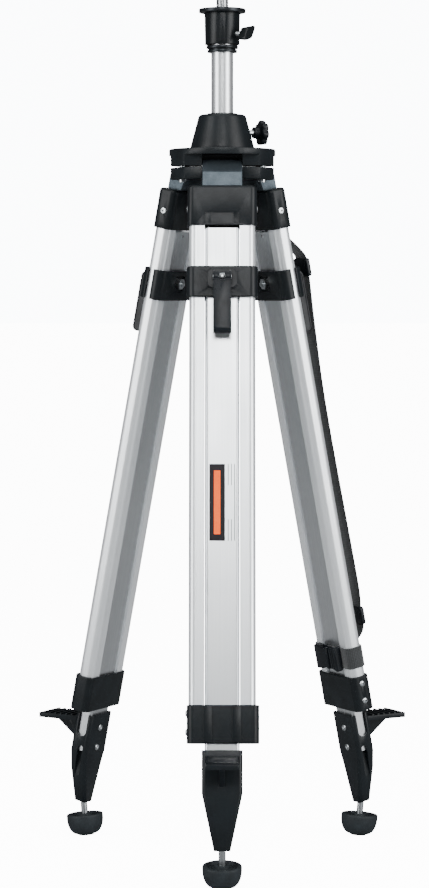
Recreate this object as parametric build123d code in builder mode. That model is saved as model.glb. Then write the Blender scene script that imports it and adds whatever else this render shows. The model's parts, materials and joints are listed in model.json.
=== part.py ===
"""Elevating tripod for a construction laser, standing at a working height.

Millimetres, +Z up. The origin is on the floor, under the middle of the tripod's bounding box. The
column stands behind it, because two legs go back and one comes forward. Everything at the head is
modelled around the column axis, and the pieces of one leg are modelled in the leg's own frame:
origin on the hinge axis, X along that axis, -Y outwards and Z up the leg. Each leg gets its copies.
"""
import os
from math import cos, radians, sin

from build123d import *

os.makedirs("parts", exist_ok=True)

# Whole tripod
hinge_height = 878.0        # hinge pins above the floor
hinge_radius = 35.0         # hinge pins from the column axis
leg_splay = 11.5            # legs from the vertical, degrees
seat_rise = 133.0           # instrument seat above the column guide
leg_azimuths = {"front": -90.0, "right": 30.0, "left": 150.0}
running = 0.06              # radial clearance of a turning or sliding fit
gap = 0.5                   # clearance between pieces that move past each other
fit = 0.1                   # clearance round pieces that are fastened together

# Head and hinges
head_radius = 67.5
plate_thickness = 8.0
lug_cover = 13.0            # flat of the lugs outside the hinge pins
lug_height = 14.0
lug_cap_height = 15.0
lug_split = 2.0             # slit between a lug and its cap
hub_wall = 5.0
pin_radius = 4.0
pin_grip = 17.0             # each end of a pin between a lug and its cap
knuckle_wall = 5.0
knuckle_length = 50.0
cap_bolt_radius = 3.0
cap_bolt_edge = 9.5         # lug bolt inside the edge of the head

# Column guide on the head
guide_base_wall = 26.5
guide_top_wall = 15.5
guide_height = 44.0
guide_foot = 3.0            # straight edge at the bottom of the guide
guide_crown = 5.0
bush_wall = 3.0
bush_rim = 1.5

# Column, collar, cup and stud
column_radius = 14.0
column_wall = 2.0
column_length = 560.0
plug_rim = 5.0
collar_wall = 6.0
collar_height = 8.6
cup_height = 40.0
cup_top_wall = 8.6
cup_base_wall = 7.8
cup_gap = 1.4
seat_radius = 29.5
seat_thickness = 5.0
stud_radius = 7.94
stud_length = 22.0
stud_root_radius = 10.0

# Knob on the guide and wing screw on the cup
knob_azimuth = 22.0
knob_screw_radius = 3.5
knob_radius = 16.5
knob_thickness = 9.0
knob_lobes = 7
knob_gap = 7.4              # hub of the knob outside the guide
knob_hub = 8.0
knob_screw_depth = 5.0      # end of the screw inside the knob's face
knob_edge = 1.6
wing_azimuth = -35.0
wing_screw_radius = 3.0
wing_span = 28.0
wing_tilt = 30.0
wing_gap = 9.0
wing_depth = 11.0
wing_thickness = 7.0
wing_hub_wall = 2.5

# Leg section, in the leg's frame
leg_offset = 15.0           # middle plane of the leg outside the hinge axis
leg_width = 82.0
rail_depth = 22.0
rail_width = 19.2
rail_corner = 8.0
rail_wall = 1.6
blade_recess = 2.0          # faces of the blade behind the faces of the rails
blade_corner = 4.0
blade_gap = 0.6

# Lengths along the leg
cap_top = 30.0              # top of the cap below the hinge axis
cap_height = 51.0
blade_drop = 3.0            # top of the blade below the cap
clamp_drop = 52.5           # top of the clamp below the cap
clamp_height = 38.5
leg_collar_height = 46.5
foot_gap = 8.0              # between the lower collar and the foot
foot_length = 121.0
foot_straight = 52.0
socket_depth = 50.0

# Top cap, clamp and lower collar
cap_side_wall = 2.3
cap_face_wall = 2.5
cap_recess_width = 42.0
cap_recess_height = 14.0
cap_window = 28.0           # deeper middle of the recess
cap_recess_depth = 0.9
cap_edge = 4.0
tongue_slack = 0.5
tongue_flange = 5.0         # step each side of the tongue's root
cover_corner = 8.5
shell_thickness = 5.0
shell_side = 2.8
shell_round = 0.9
outer_edge = 6.5            # edge of the outer shell outside the leg's middle plane
inner_edge = 1.5            # edge of the inner shell inside it
boss_inset = 2.8            # clamp boss inside the channel, each side
boss_height = 25.0
boss_rise = 2.5
clamp_bolt_radius = 3.0
nut_flats = 13.0
nut_height = 5.5
nut_recess_width = 22.0
nut_recess_height = 20.0
nut_recess = 2.0
leg_screw_radius = 2.0
leg_screw_head = 4.0
cap_screw_rise = 0.5
collar_screw_rise = 1.4
leg_screw_length = 6.0
collar_floor = 9.0

# Cam lever
lever_width = 22.0
lever_length = 71.0
lever_wall = 2.0
cam_radius = 8.2
lever_pin_radius = 2.5
lever_slot_width = 6.6
lever_slot_length = 13.0
lever_depth = 14.5
lever_round = 6.5
lever_tip = 12.0            # solid end of the lever
lever_rim = 1.8             # raised rim round the pocket in each side
lever_pocket = 0.8

# Foot, rod and pad
foot_side_wall = 3.55
foot_face_wall = 4.0
foot_tip_width = 20.0
foot_tip_depth = 18.0
foot_bulge = 0.35           # share of the taper where the outer face bends
foot_bulge_depth = 0.15     # share of the depth lost by there
tread_length = 57.0
tread_width = 42.0
tread_thickness = 6.0
tread_slots = 5
tread_drop = 7.0            # top of the tread below the top of the foot
tread_rib = 1.8             # ribs between the slots, over the tread
rod_radius = 4.4
pad_radius = 24.2
pad_height = 28.0
pad_bore_floor = 6.0        # bottom of the pad's bore over its base
pad_travel = 9.0            # how far the pad screws up the rod
pad_step_radius = 10.5
pad_step_height = 1.5
pad_lean = 5.0              # rod leans outwards at the top, degrees from the vertical
pad_inset = 20.5            # middle of each pad inside the leg's middle plane, on the floor
rod_show = 17.7             # rod between the pad and the foot

# Carrying strap on the right leg
strap_width = 26.0
strap_thickness = 1.8
strap_standoff = 50.5       # long run of the strap outside the hinge axis
binding_height = 28.0
binding_gap = 11.5          # between the binding strap and the lower collar

# ---------------------------------------------------------------------------------------------
# Frames
# ---------------------------------------------------------------------------------------------
middle = -leg_offset
blade_depth = rail_depth - 2 * blade_recess
foot_depth = blade_depth + 2 * foot_face_wall
rise = cos(radians(leg_splay))
run = sin(radians(leg_splay))


def leg_point(radius, height):
    """A point given by radius and height over the floor, in the leg's frame."""
    out = radius - hinge_radius
    up = height - hinge_height
    return Vector(0, -(out * rise + up * run), up * rise - out * run)


# The pad stands on the lower edge of its step, so leaning lifts its middle a little.
pad_lift = pad_step_radius * sin(radians(pad_lean))
pad_circle = hinge_radius + leg_offset / rise + hinge_height * run / rise - pad_inset
pad_base = leg_point(pad_circle, pad_lift)
pad_frame = Location(pad_base, (leg_splay + pad_lean, 0, 0))

# Distances below the hinge axis, worked out from both ends of the leg.
foot_tip = -pad_base.Z - (pad_height + rod_show) * cos(radians(leg_splay + pad_lean))
foot_top = foot_tip - foot_length
collar_base = foot_top - foot_gap
collar_top = collar_base - leg_collar_height
blade_top = cap_top + cap_height + blade_drop
clamp_top = cap_top + cap_height + clamp_drop

# The tread is level when the tripod stands, so it is tilted in the leg's frame.
tread_angle = leg_splay
tread_root = -leg_offset - foot_depth / 2
tread_level = -(foot_top + tread_drop)
tread_frame = Location((0, tread_root, tread_level), (tread_angle, 0, 0))

# The origin is under the middle of the bounding box: treads reach furthest, forward and sideways.
tread_reach_out = -tread_root + tread_length * rise
tread_reach_down = -tread_level + tread_length * run
tread_tip_radius = hinge_radius + tread_reach_out * rise + tread_reach_down * run
rear_reach = tread_tip_radius * sin(radians(30)) + tread_width / 2 * cos(radians(30))
column_y = (tread_tip_radius - rear_reach) / 2


def leg_frame(azimuth):
    """Where a leg's frame stands."""
    turned = Location((0, column_y, 0), (0, 0, azimuth + 90))
    return turned * Location((0, -hinge_radius, hinge_height), (-leg_splay, 0, 0))


def column_level(height, azimuth=0.0):
    """A horizontal plane on the column axis, turned to an azimuth."""
    spot = Location((0, column_y, height), (0, 0, azimuth))
    return Plane(spot)


def radial_plane(height, azimuth, radius=0.0):
    """A plane facing outwards from the column axis, with its X level."""
    out = Vector(cos(radians(azimuth)), sin(radians(azimuth)), 0)
    side = Vector(-sin(radians(azimuth)), cos(radians(azimuth)), 0)
    return Plane(origin=Vector(0, column_y, height) + out * radius, x_dir=side, z_dir=out)


def save(name, piece):
    """Label one piece and write it."""
    piece.label = name
    export_step(piece, f"parts/{name}.step")


def save_for_legs(name, piece, within=Location(), legs=tuple(leg_azimuths)):
    """Write one copy of a leg piece for each leg."""
    for leg in legs:
        place = leg_frame(leg_azimuths[leg]) * within
        save(f"{leg}_{name}", piece.moved(place))


# ---------------------------------------------------------------------------------------------
# Head: plate with lugs, lug caps, hinge pins, bolts, column guide, bush
# ---------------------------------------------------------------------------------------------
knuckle_radius = pin_radius + knuckle_wall
pin_length = knuckle_length + 2 * pin_grip
lug_flat = hinge_radius + lug_cover
cap_bolt_circle = head_radius - cap_bolt_edge
head_top = hinge_height + lug_split / 2 + lug_height + plate_thickness
lug_top = head_top - plate_thickness
lug_base = hinge_height + lug_split / 2
cap_face = hinge_height - lug_split / 2
lug_cap_base = cap_face - lug_cap_height
slot_width = knuckle_length + 2 * gap
slot_inner = hinge_radius - knuckle_radius - gap
bush_outer = column_radius + running + bush_wall
hub_radius = bush_outer + hub_wall
guide_base_radius = column_radius + guide_base_wall
guide_top_radius = column_radius + guide_top_wall
guide_top = head_top + guide_height
bolt_head_radius = 1.6 * cap_bolt_radius
bolt_head_height = 1.1 * cap_bolt_radius
bolt_depth = lug_height * 0.7


def lug_outline():
    """Disc cut to a flat towards each leg, with a slot for each knuckle."""
    Circle(head_radius)
    RegularPolygon(lug_flat, 3, major_radius=False, rotation=90, mode=Mode.INTERSECT)
    with PolarLocations(slot_inner + head_radius / 2, 3, start_angle=-90):
        Rectangle(head_radius, slot_width, mode=Mode.SUBTRACT)


def hinge_axes():
    """Frames at the hinge pins, with Z along each pin."""
    return [
        Location(column_level(hinge_height, azimuth).location * Location((hinge_radius, 0, 0), (90, 0, 0)))
        for azimuth in leg_azimuths.values()
    ]


def cap_bolt_spots():
    """Middles of the three lug caps, between the legs."""
    return PolarLocations(cap_bolt_circle, 3, start_angle=-30)


with BuildPart() as head_plate:
    with BuildSketch(column_level(lug_top)):
        Circle(head_radius)
    extrude(amount=plate_thickness)
    chamfer(head_plate.edges().group_by(Axis.Z)[-1], 1.0)
    with BuildSketch(column_level(lug_base)):
        lug_outline()
    extrude(amount=lug_height)
    with BuildSketch(column_level(lug_cap_base)):
        Circle(hub_radius)
    extrude(amount=lug_top - lug_cap_base)
    with BuildSketch(column_level(lug_cap_base)):
        Circle(bush_outer)
    extrude(amount=head_top - lug_cap_base, mode=Mode.SUBTRACT)
    with Locations(*hinge_axes()):
        Cylinder(pin_radius, pin_length, mode=Mode.SUBTRACT)
    with BuildSketch(column_level(lug_base)):
        with cap_bolt_spots():
            Circle(cap_bolt_radius)
    extrude(amount=bolt_depth, mode=Mode.SUBTRACT)
save("head_plate", head_plate.part)

with BuildPart() as lug_caps:
    with BuildSketch(column_level(lug_cap_base)):
        lug_outline()
        Circle(slot_inner + gap, mode=Mode.SUBTRACT)
    extrude(amount=lug_cap_height)
    chamfer(lug_caps.edges().group_by(Axis.Z)[0], 1.2)
    with Locations(*hinge_axes()):
        Cylinder(pin_radius, pin_length, mode=Mode.SUBTRACT)
    with BuildSketch(column_level(lug_cap_base)):
        with cap_bolt_spots():
            Circle(cap_bolt_radius)
    extrude(amount=lug_cap_height, mode=Mode.SUBTRACT)
save("lug_caps", lug_caps.part)

with BuildPart() as hinge_pins:
    with Locations(*hinge_axes()):
        Cylinder(pin_radius, pin_length)
save("hinge_pins", hinge_pins.part)

with BuildPart() as lug_bolts:
    with BuildSketch(column_level(lug_cap_base - bolt_head_height)):
        with cap_bolt_spots():
            Circle(bolt_head_radius)
    extrude(amount=bolt_head_height)
    with BuildSketch(column_level(lug_cap_base - bolt_head_height)):
        with cap_bolt_spots():
            RegularPolygon(0.85 * cap_bolt_radius, 6)
    extrude(amount=bolt_head_height * 0.6, mode=Mode.SUBTRACT)
    with BuildSketch(column_level(lug_cap_base)):
        with cap_bolt_spots():
            Circle(cap_bolt_radius)
    extrude(amount=lug_base + bolt_depth - lug_cap_base)
save("lug_bolts", lug_bolts.part)

knob_height = head_top + guide_height / 2
with BuildPart() as column_guide:
    with BuildSketch(Plane.XZ.offset(-column_y)) as guide_side:
        with BuildLine():
            outline = Polyline(
                (bush_outer, head_top),
                (guide_base_radius, head_top),
                (guide_base_radius, head_top + guide_foot),
                (guide_top_radius, guide_top),
                (bush_outer, guide_top),
            )
            Line(outline @ 1, outline @ 0)
        make_face()
        fillet(guide_side.vertices().group_by(Axis.Y)[-1].sort_by(Axis.X)[-1], guide_crown)
    revolve(axis=Axis((0, column_y, 0), (0, 0, 1)))
    with BuildSketch(radial_plane(knob_height, knob_azimuth)):
        Circle(knob_screw_radius + running)
    extrude(amount=guide_base_radius, mode=Mode.SUBTRACT)
save("column_guide", column_guide.part)

with BuildPart() as column_bush:
    with BuildSketch(column_level(lug_cap_base)):
        Circle(bush_outer)
    extrude(amount=guide_top - lug_cap_base)
    with BuildSketch(column_level(guide_top)):
        Circle(bush_outer + bush_rim)
    extrude(amount=bush_rim)
    with BuildSketch(column_level(lug_cap_base)):
        Circle(column_radius + running)
    extrude(amount=guide_top + bush_rim - lug_cap_base, mode=Mode.SUBTRACT)
    with BuildSketch(radial_plane(knob_height, knob_azimuth)):
        Circle(knob_screw_radius + running)
    extrude(amount=guide_base_radius, mode=Mode.SUBTRACT)
save("column_bush", column_bush.part)

# ---------------------------------------------------------------------------------------------
# Column: tube, end plug, collar
# ---------------------------------------------------------------------------------------------
collar_radius = column_radius + collar_wall
cup_top_radius = column_radius + cup_top_wall
cup_base_radius = column_radius + cup_base_wall
seat_height = guide_top + seat_rise
cup_top = seat_height - seat_thickness
cup_base = cup_top - cup_height
collar_top_level = cup_base - cup_gap
tube_top = cup_base + cup_height * 0.7
tube_bottom = tube_top - column_length
plug_depth = 20.0

with BuildPart() as column_tube:
    with BuildSketch(column_level(tube_bottom)):
        Circle(column_radius)
        Circle(column_radius - column_wall, mode=Mode.SUBTRACT)
    extrude(amount=column_length)
save("column_tube", column_tube.part)

with BuildPart() as column_plug:
    with BuildSketch(column_level(tube_bottom - plug_rim)):
        Circle(column_radius + 1.5)
    extrude(amount=plug_rim)
    chamfer(column_plug.edges().group_by(Axis.Z)[0], 1.0)
    with BuildSketch(column_level(tube_bottom)):
        Circle(column_radius - column_wall)
    extrude(amount=plug_depth)
save("column_plug", column_plug.part)

with BuildPart() as column_collar:
    with BuildSketch(column_level(collar_top_level - collar_height)):
        Circle(collar_radius - 1.2)
    extrude(amount=collar_height * 0.4)
    with BuildSketch(column_level(collar_top_level - collar_height * 0.6)):
        Circle(collar_radius - 3.0)
    extrude(amount=collar_height * 0.18)
    with BuildSketch(column_level(collar_top_level - collar_height * 0.42)):
        Circle(collar_radius)
    extrude(amount=collar_height * 0.42)
    with BuildSketch(column_level(collar_top_level - collar_height)):
        Circle(column_radius)
    extrude(amount=collar_height, mode=Mode.SUBTRACT)
save("column_collar", column_collar.part)

# ---------------------------------------------------------------------------------------------
# Cup, stud, wing screw and knob
# ---------------------------------------------------------------------------------------------
wing_height = cup_base + cup_height * 0.32

with BuildPart() as cup:
    with BuildSketch(column_level(cup_base)):
        Circle(cup_base_radius)
    with BuildSketch(column_level(cup_top)):
        Circle(cup_top_radius)
    loft()
    with BuildSketch(column_level(cup_base)):
        Circle(column_radius + running)
    extrude(amount=tube_top + gap - cup_base, mode=Mode.SUBTRACT)
    with BuildSketch(column_level(cup_base)):
        Circle(stud_root_radius)
    extrude(amount=cup_height, mode=Mode.SUBTRACT)
    with BuildSketch(radial_plane(wing_height, wing_azimuth)):
        Circle(wing_screw_radius + running)
    extrude(amount=cup_top_radius + 1, mode=Mode.SUBTRACT)
save("cup", cup.part)

with BuildPart() as instrument_stud:
    with BuildSketch(column_level(cup_top)):
        Circle(seat_radius)
    extrude(amount=seat_thickness)
    chamfer(instrument_stud.edges(), 0.6)
    with BuildSketch(column_level(seat_height)):
        Circle(stud_radius)
    extrude(amount=stud_length)
    chamfer(instrument_stud.edges().group_by(Axis.Z)[-1], 1.2)
    with BuildSketch(column_level(tube_top + 2 * gap)):
        Circle(stud_root_radius)
    extrude(amount=cup_top - tube_top - 2 * gap)
save("instrument_stud", instrument_stud.part)

screw_tip = column_radius + gap
wing_start = cup_top_radius + wing_gap
with BuildPart() as wing_screw:
    with BuildSketch(radial_plane(wing_height, wing_azimuth, screw_tip)):
        Circle(wing_screw_radius)
    extrude(amount=wing_start - screw_tip)
    with BuildSketch(radial_plane(wing_height, wing_azimuth, wing_start - 2.0)):
        Circle(wing_screw_radius + wing_hub_wall)
    extrude(amount=wing_depth)
    with BuildSketch(radial_plane(wing_height, wing_azimuth, wing_start)):
        SlotOverall(wing_span, wing_thickness, rotation=wing_tilt)
    extrude(amount=wing_depth)
    fillet(wing_screw.edges().filter_by(GeomType.CIRCLE).group_by(SortBy.RADIUS)[-1], 0.8)
save("wing_screw", wing_screw.part)

knob_start = (guide_base_radius + guide_top_radius) / 2 + knob_gap
with BuildPart() as knob_screw:
    with BuildSketch(radial_plane(knob_height, knob_azimuth, screw_tip)):
        Circle(knob_screw_radius)
    extrude(amount=knob_start + knob_hub + knob_screw_depth - screw_tip)
save("knob_screw", knob_screw.part)

with BuildPart() as knob_grip:
    with BuildSketch(radial_plane(knob_height, knob_azimuth, knob_start)):
        Circle(knob_radius * 0.5)
    extrude(amount=knob_hub)
    with BuildSketch(radial_plane(knob_height, knob_azimuth, knob_start + knob_hub)) as star:
        Circle(knob_radius * 0.76)
        with PolarLocations(knob_radius * 0.74, knob_lobes):
            Circle(knob_radius * 0.26)
        fillet(star.vertices(), knob_radius * 0.12)
    extrude(amount=knob_thickness)
    knob_face = knob_grip.faces().sort_by(Axis((0, column_y, 0), radial_plane(0, knob_azimuth).z_dir))[-1]
    fillet(knob_face.edges(), knob_edge)
    with BuildSketch(radial_plane(knob_height, knob_azimuth, knob_start)):
        Circle(knob_screw_radius)
    extrude(amount=knob_hub + knob_screw_depth, mode=Mode.SUBTRACT)
save("knob_grip", knob_grip.part)

# ---------------------------------------------------------------------------------------------
# Upper leg: tongue, top cap, rails, lower collar, screws
# ---------------------------------------------------------------------------------------------
channel_half = leg_width / 2 - rail_width
blade_width = 2 * (channel_half - blade_gap)
tongue_depth = rail_depth - 2 * tongue_slack
flange_width = knuckle_length + 2 * tongue_flange
rail_top = cap_top + 16.5
lip_depth = 8.0
pocket_width = leg_width + 2 * fit
pocket_depth = rail_depth + 2 * fit
cap_width = pocket_width + 2 * cap_side_wall
cap_depth = pocket_depth + 2 * cap_face_wall
flange_top = cap_top + lip_depth
cap_screw_level = cap_top + cap_height * 0.56
collar_screw_levels = (collar_top + 10.0, collar_top + 33.0)
rail_base = collar_base - collar_floor

with BuildPart() as hinge_tongue:
    with BuildSketch(Plane.YZ):
        with BuildLine():
            shoulder = Polyline(
                (-knuckle_radius * 0.7, knuckle_radius * 0.7),
                (middle - tongue_depth / 2, -13.0),
                (middle - tongue_depth / 2, -flange_top),
                (middle + tongue_depth / 2, -flange_top),
                (middle + tongue_depth / 2, -cap_top),
                (-1.0, -knuckle_radius),
                (0, 0),
            )
            Line(shoulder @ 1, shoulder @ 0)
        make_face()
        Circle(knuckle_radius)
    extrude(amount=knuckle_length / 2, both=True)
    tongue_edges = hinge_tongue.edges()
    chamfer(tongue_edges.group_by(Axis.X)[0] + tongue_edges.group_by(Axis.X)[-1], 0.8)
    with BuildSketch(Plane.XY.offset(4 * fit - rail_top)):
        with Locations((0, middle)):
            Rectangle(flange_width, tongue_depth)
    extrude(amount=rail_top - 4 * fit - flange_top)
    with Locations(Location((0, 0, 0), (0, 90, 0))):
        Cylinder(pin_radius + running, knuckle_length, mode=Mode.SUBTRACT)
save_for_legs("hinge_tongue", hinge_tongue.part)

with BuildPart() as top_cap:
    with BuildSketch(Plane.XY.offset(-cap_top - cap_height)):
        with Locations((0, middle)):
            RectangleRounded(cap_width, cap_depth, cover_corner)
    extrude(amount=cap_height)
    fillet(top_cap.edges().group_by(Axis.Z)[-1], cap_edge)
    with BuildSketch(Plane.XY.offset(-cap_top - cap_height)):
        with Locations((0, middle)):
            RectangleRounded(pocket_width, pocket_depth, rail_corner)
    extrude(amount=cap_top + cap_height - rail_top + 2 * fit, mode=Mode.SUBTRACT)
    with BuildSketch(Plane.XY.offset(-rail_top)):
        with Locations((0, middle)):
            Rectangle(flange_width + 4 * fit, tongue_depth + 2 * fit)
    extrude(amount=rail_top - flange_top, mode=Mode.SUBTRACT)
    with BuildSketch(Plane.XY.offset(-flange_top)):
        with Locations((0, middle)):
            Rectangle(knuckle_length + 2 * fit, tongue_depth + 2 * fit)
    extrude(amount=lip_depth, mode=Mode.SUBTRACT)
    with BuildSketch(Plane.XZ.offset(-middle + cap_depth / 2)):
        with Locations((0, -cap_top - cap_height * 0.82)):
            RectangleRounded(cap_recess_width, cap_recess_height, 1.5)
    extrude(amount=-cap_recess_depth, mode=Mode.SUBTRACT)
    with BuildSketch(Plane.XZ.offset(-middle + cap_depth / 2)):
        with Locations((0, -cap_top - cap_height * 0.82)):
            Rectangle(cap_window, cap_recess_height)
    extrude(amount=-2 * cap_recess_depth, mode=Mode.SUBTRACT)
    with Locations(Location((0, middle, -cap_screw_level), (0, 90, 0))):
        Cylinder(leg_screw_radius, cap_width + 2, mode=Mode.SUBTRACT)
save_for_legs("top_cap", top_cap.part)

with BuildPart() as rails:
    with BuildSketch(Plane.XY.offset(-rail_base)) as rail_section:
        with Locations((-leg_width / 2 + rail_width / 2, middle), (leg_width / 2 - rail_width / 2, middle)):
            Rectangle(rail_width, rail_depth)
        rail_edges = rail_section.vertices().group_by(Axis.X)
        fillet(rail_edges[0] + rail_edges[-1], rail_corner)
        offset(amount=-rail_wall, mode=Mode.SUBTRACT)
    extrude(amount=rail_base - rail_top)
    with Locations(Location((0, middle, -cap_screw_level), (0, 90, 0))):
        Cylinder(leg_screw_radius, leg_width + 2, mode=Mode.SUBTRACT)
    for level in collar_screw_levels:
        with Locations(Location((-leg_width / 2, middle, -level), (0, 90, 0))):
            Cylinder(leg_screw_radius, 2 * leg_screw_length, mode=Mode.SUBTRACT)
save_for_legs("rails", rails.part)

# The collar is thicker on the side away from its screws.
collar_thin = 2.0
collar_thick = 4.0
collar_face_wall = 2.6
collar_round = 1.2
collar_width = pocket_width + collar_thin + collar_thick
collar_depth = pocket_depth + 2 * collar_face_wall
collar_centre = (collar_thick - collar_thin) / 2
collar_edge = -collar_width / 2 + collar_centre
strip_width = 10.0
strip_offset = 17.5
strip_end = 1.5
strip_rise = 1.2
with BuildPart() as lower_collar:
    with BuildSketch(Plane.XY.offset(-collar_base)):
        with Locations((collar_centre, middle)):
            RectangleRounded(collar_width, collar_depth, cover_corner)
    extrude(amount=leg_collar_height)
    fillet(lower_collar.edges().group_by(Axis.Z)[-1], collar_round)
    fillet(lower_collar.edges().group_by(Axis.Z)[0], collar_round)
    with BuildSketch(Plane.XZ.offset(-middle + collar_depth / 2)):
        with Locations((-strip_offset, -collar_base + leg_collar_height / 2)):
            Rectangle(strip_width, leg_collar_height - 2 * strip_end)
        with Locations((strip_offset, -collar_base + leg_collar_height / 2)):
            Rectangle(strip_width, leg_collar_height - 2 * strip_end)
    extrude(amount=strip_rise)
    with BuildSketch(Plane.XY.offset(-rail_base)):
        with Locations((0, middle)):
            RectangleRounded(pocket_width, pocket_depth, rail_corner)
    extrude(amount=rail_base - collar_top, mode=Mode.SUBTRACT)
    with BuildSketch(Plane.XY.offset(-collar_base)):
        with Locations((0, middle)):
            Rectangle(2 * channel_half, blade_depth + 2 * blade_gap)
    extrude(amount=leg_collar_height, mode=Mode.SUBTRACT)
    for level in collar_screw_levels:
        with Locations(Location((-leg_width / 2, middle, -level), (0, 90, 0))):
            Cylinder(leg_screw_radius, 2 * leg_screw_length, mode=Mode.SUBTRACT)
save_for_legs("lower_collar", lower_collar.part)

with BuildPart() as leg_screws:
    for side in (-1, 1):
        with Locations(Location((side * cap_width / 2, middle, -cap_screw_level), (0, 90 * side, 0))):
            Cylinder(leg_screw_head, cap_screw_rise, align=(Align.CENTER, Align.CENTER, Align.MIN))
            Cylinder(leg_screw_radius, leg_screw_length, align=(Align.CENTER, Align.CENTER, Align.MAX))
    for level in collar_screw_levels:
        with Locations(Location((collar_edge, middle, -level), (0, -90, 0))):
            Cylinder(leg_screw_head, collar_screw_rise, align=(Align.CENTER, Align.CENTER, Align.MIN))
            Cylinder(leg_screw_radius, leg_screw_length, align=(Align.CENTER, Align.CENTER, Align.MAX))
save_for_legs("leg_screws", leg_screws.part)

# ---------------------------------------------------------------------------------------------
# Sliding leg: blade, clamp shells, bolt, lever
# ---------------------------------------------------------------------------------------------
bolt_level = clamp_top + 16.2
blade_base = foot_top + socket_depth
shell_inner = rail_depth / 2 + gap
shell_outer = shell_inner + shell_thickness
shell_width = leg_width + 2 * gap + 2 * shell_side
bore_width = leg_width + 2 * gap
pad_reach = blade_depth / 2
boss_width = 2 * (channel_half - boss_inset)

with BuildPart() as sliding_blade:
    with BuildSketch(Plane.XY.offset(-blade_base)):
        with Locations((0, middle)):
            RectangleRounded(blade_width, blade_depth, blade_corner)
        offset(amount=-rail_wall, mode=Mode.SUBTRACT)
    extrude(amount=blade_base - blade_top)
    with Locations(Location((0, middle, -bolt_level), (90, 0, 0))):
        Cylinder(clamp_bolt_radius, blade_depth + 2, mode=Mode.SUBTRACT)
save_for_legs("sliding_blade", sliding_blade.part)

with BuildPart() as clamp_outer_shell:
    with BuildSketch(Plane.XY.offset(-clamp_top - clamp_height)):
        with Locations((0, middle)):
            RectangleRounded(shell_width, 2 * shell_outer, rail_corner + shell_side)
            RectangleRounded(bore_width, 2 * shell_inner, rail_corner + gap, mode=Mode.SUBTRACT)
        with Locations((0, middle + shell_outer)):
            Rectangle(2 * shell_width, 2 * (shell_outer + outer_edge), mode=Mode.SUBTRACT)
    extrude(amount=clamp_height)
    shell_edges = clamp_outer_shell.edges()
    fillet(shell_edges.group_by(Axis.Z)[0] + shell_edges.group_by(Axis.Z)[-1], shell_round)
    with BuildSketch(Plane.XZ.offset(-middle + shell_outer)):
        with Locations((0, -bolt_level)):
            RectangleRounded(boss_width, boss_height, 8.0)
    extrude(amount=boss_rise)
    fillet(clamp_outer_shell.faces().sort_by(Axis.Y)[0].edges(), shell_round)
    with BuildSketch(Plane.XZ.offset(-middle + pad_reach)):
        with Locations((0, -bolt_level)):
            Rectangle(boss_width, boss_height)
    extrude(amount=shell_inner - pad_reach)
    with Locations(Location((0, middle - shell_outer, -bolt_level), (90, 0, 0))):
        Cylinder(clamp_bolt_radius, 4 * shell_thickness, mode=Mode.SUBTRACT)
save_for_legs("clamp_outer_shell", clamp_outer_shell.part)

with BuildPart() as clamp_inner_shell:
    with BuildSketch(Plane.XY.offset(-clamp_top - clamp_height)):
        with Locations((0, middle)):
            RectangleRounded(shell_width, 2 * shell_outer, rail_corner + shell_side)
            RectangleRounded(bore_width, 2 * shell_inner, rail_corner + gap, mode=Mode.SUBTRACT)
        with Locations((0, middle - shell_outer)):
            Rectangle(2 * shell_width, 2 * (shell_outer + inner_edge), mode=Mode.SUBTRACT)
    extrude(amount=clamp_height)
    shell_edges = clamp_inner_shell.edges()
    fillet(shell_edges.group_by(Axis.Z)[0] + shell_edges.group_by(Axis.Z)[-1], shell_round)
    with BuildSketch(Plane.XZ.offset(-middle - shell_inner)):
        with Locations((0, -bolt_level)):
            Rectangle(boss_width, boss_height)
    extrude(amount=shell_inner - pad_reach)
    with BuildSketch(Plane.XZ.offset(-middle - shell_outer)):
        with Locations((0, -bolt_level)):
            RectangleRounded(nut_recess_width, nut_recess_height, 3.0)
    extrude(amount=nut_recess, mode=Mode.SUBTRACT)
    with Locations(Location((0, middle + shell_outer, -bolt_level), (90, 0, 0))):
        Cylinder(clamp_bolt_radius, 4 * shell_thickness, mode=Mode.SUBTRACT)
save_for_legs("clamp_inner_shell", clamp_inner_shell.part)

pivot_out = shell_outer + boss_rise + cam_radius + 0.8 * gap
pivot_y = middle - pivot_out
eye_radius = 4.6
eye_width = 6.0
nut_face = middle + shell_outer - nut_recess
lever_pin_length = lever_width + 1.0
bolt_start = pivot_y + eye_radius / 2
bolt_spare = 3.0            # thread past the nut
with BuildPart() as clamp_bolt:
    with BuildSketch(Plane.XZ.offset(-bolt_start)):
        with Locations((0, -bolt_level)):
            Circle(clamp_bolt_radius)
    extrude(amount=bolt_start - nut_face - nut_height - bolt_spare)
    with BuildSketch(Plane.YZ):
        with Locations((pivot_y, -bolt_level)):
            Circle(eye_radius)
    extrude(amount=eye_width / 2, both=True)
    with BuildSketch(Plane.YZ):
        with Locations((pivot_y, -bolt_level)):
            Circle(lever_pin_radius)
    extrude(amount=lever_pin_length / 2, both=True)
    with BuildSketch(Plane.XZ.offset(-nut_face - nut_height)):
        with Locations((0, -bolt_level)):
            RegularPolygon(nut_flats / 2, 6, major_radius=False)
    extrude(amount=nut_height)
save_for_legs("clamp_bolt", clamp_bolt.part)

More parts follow.
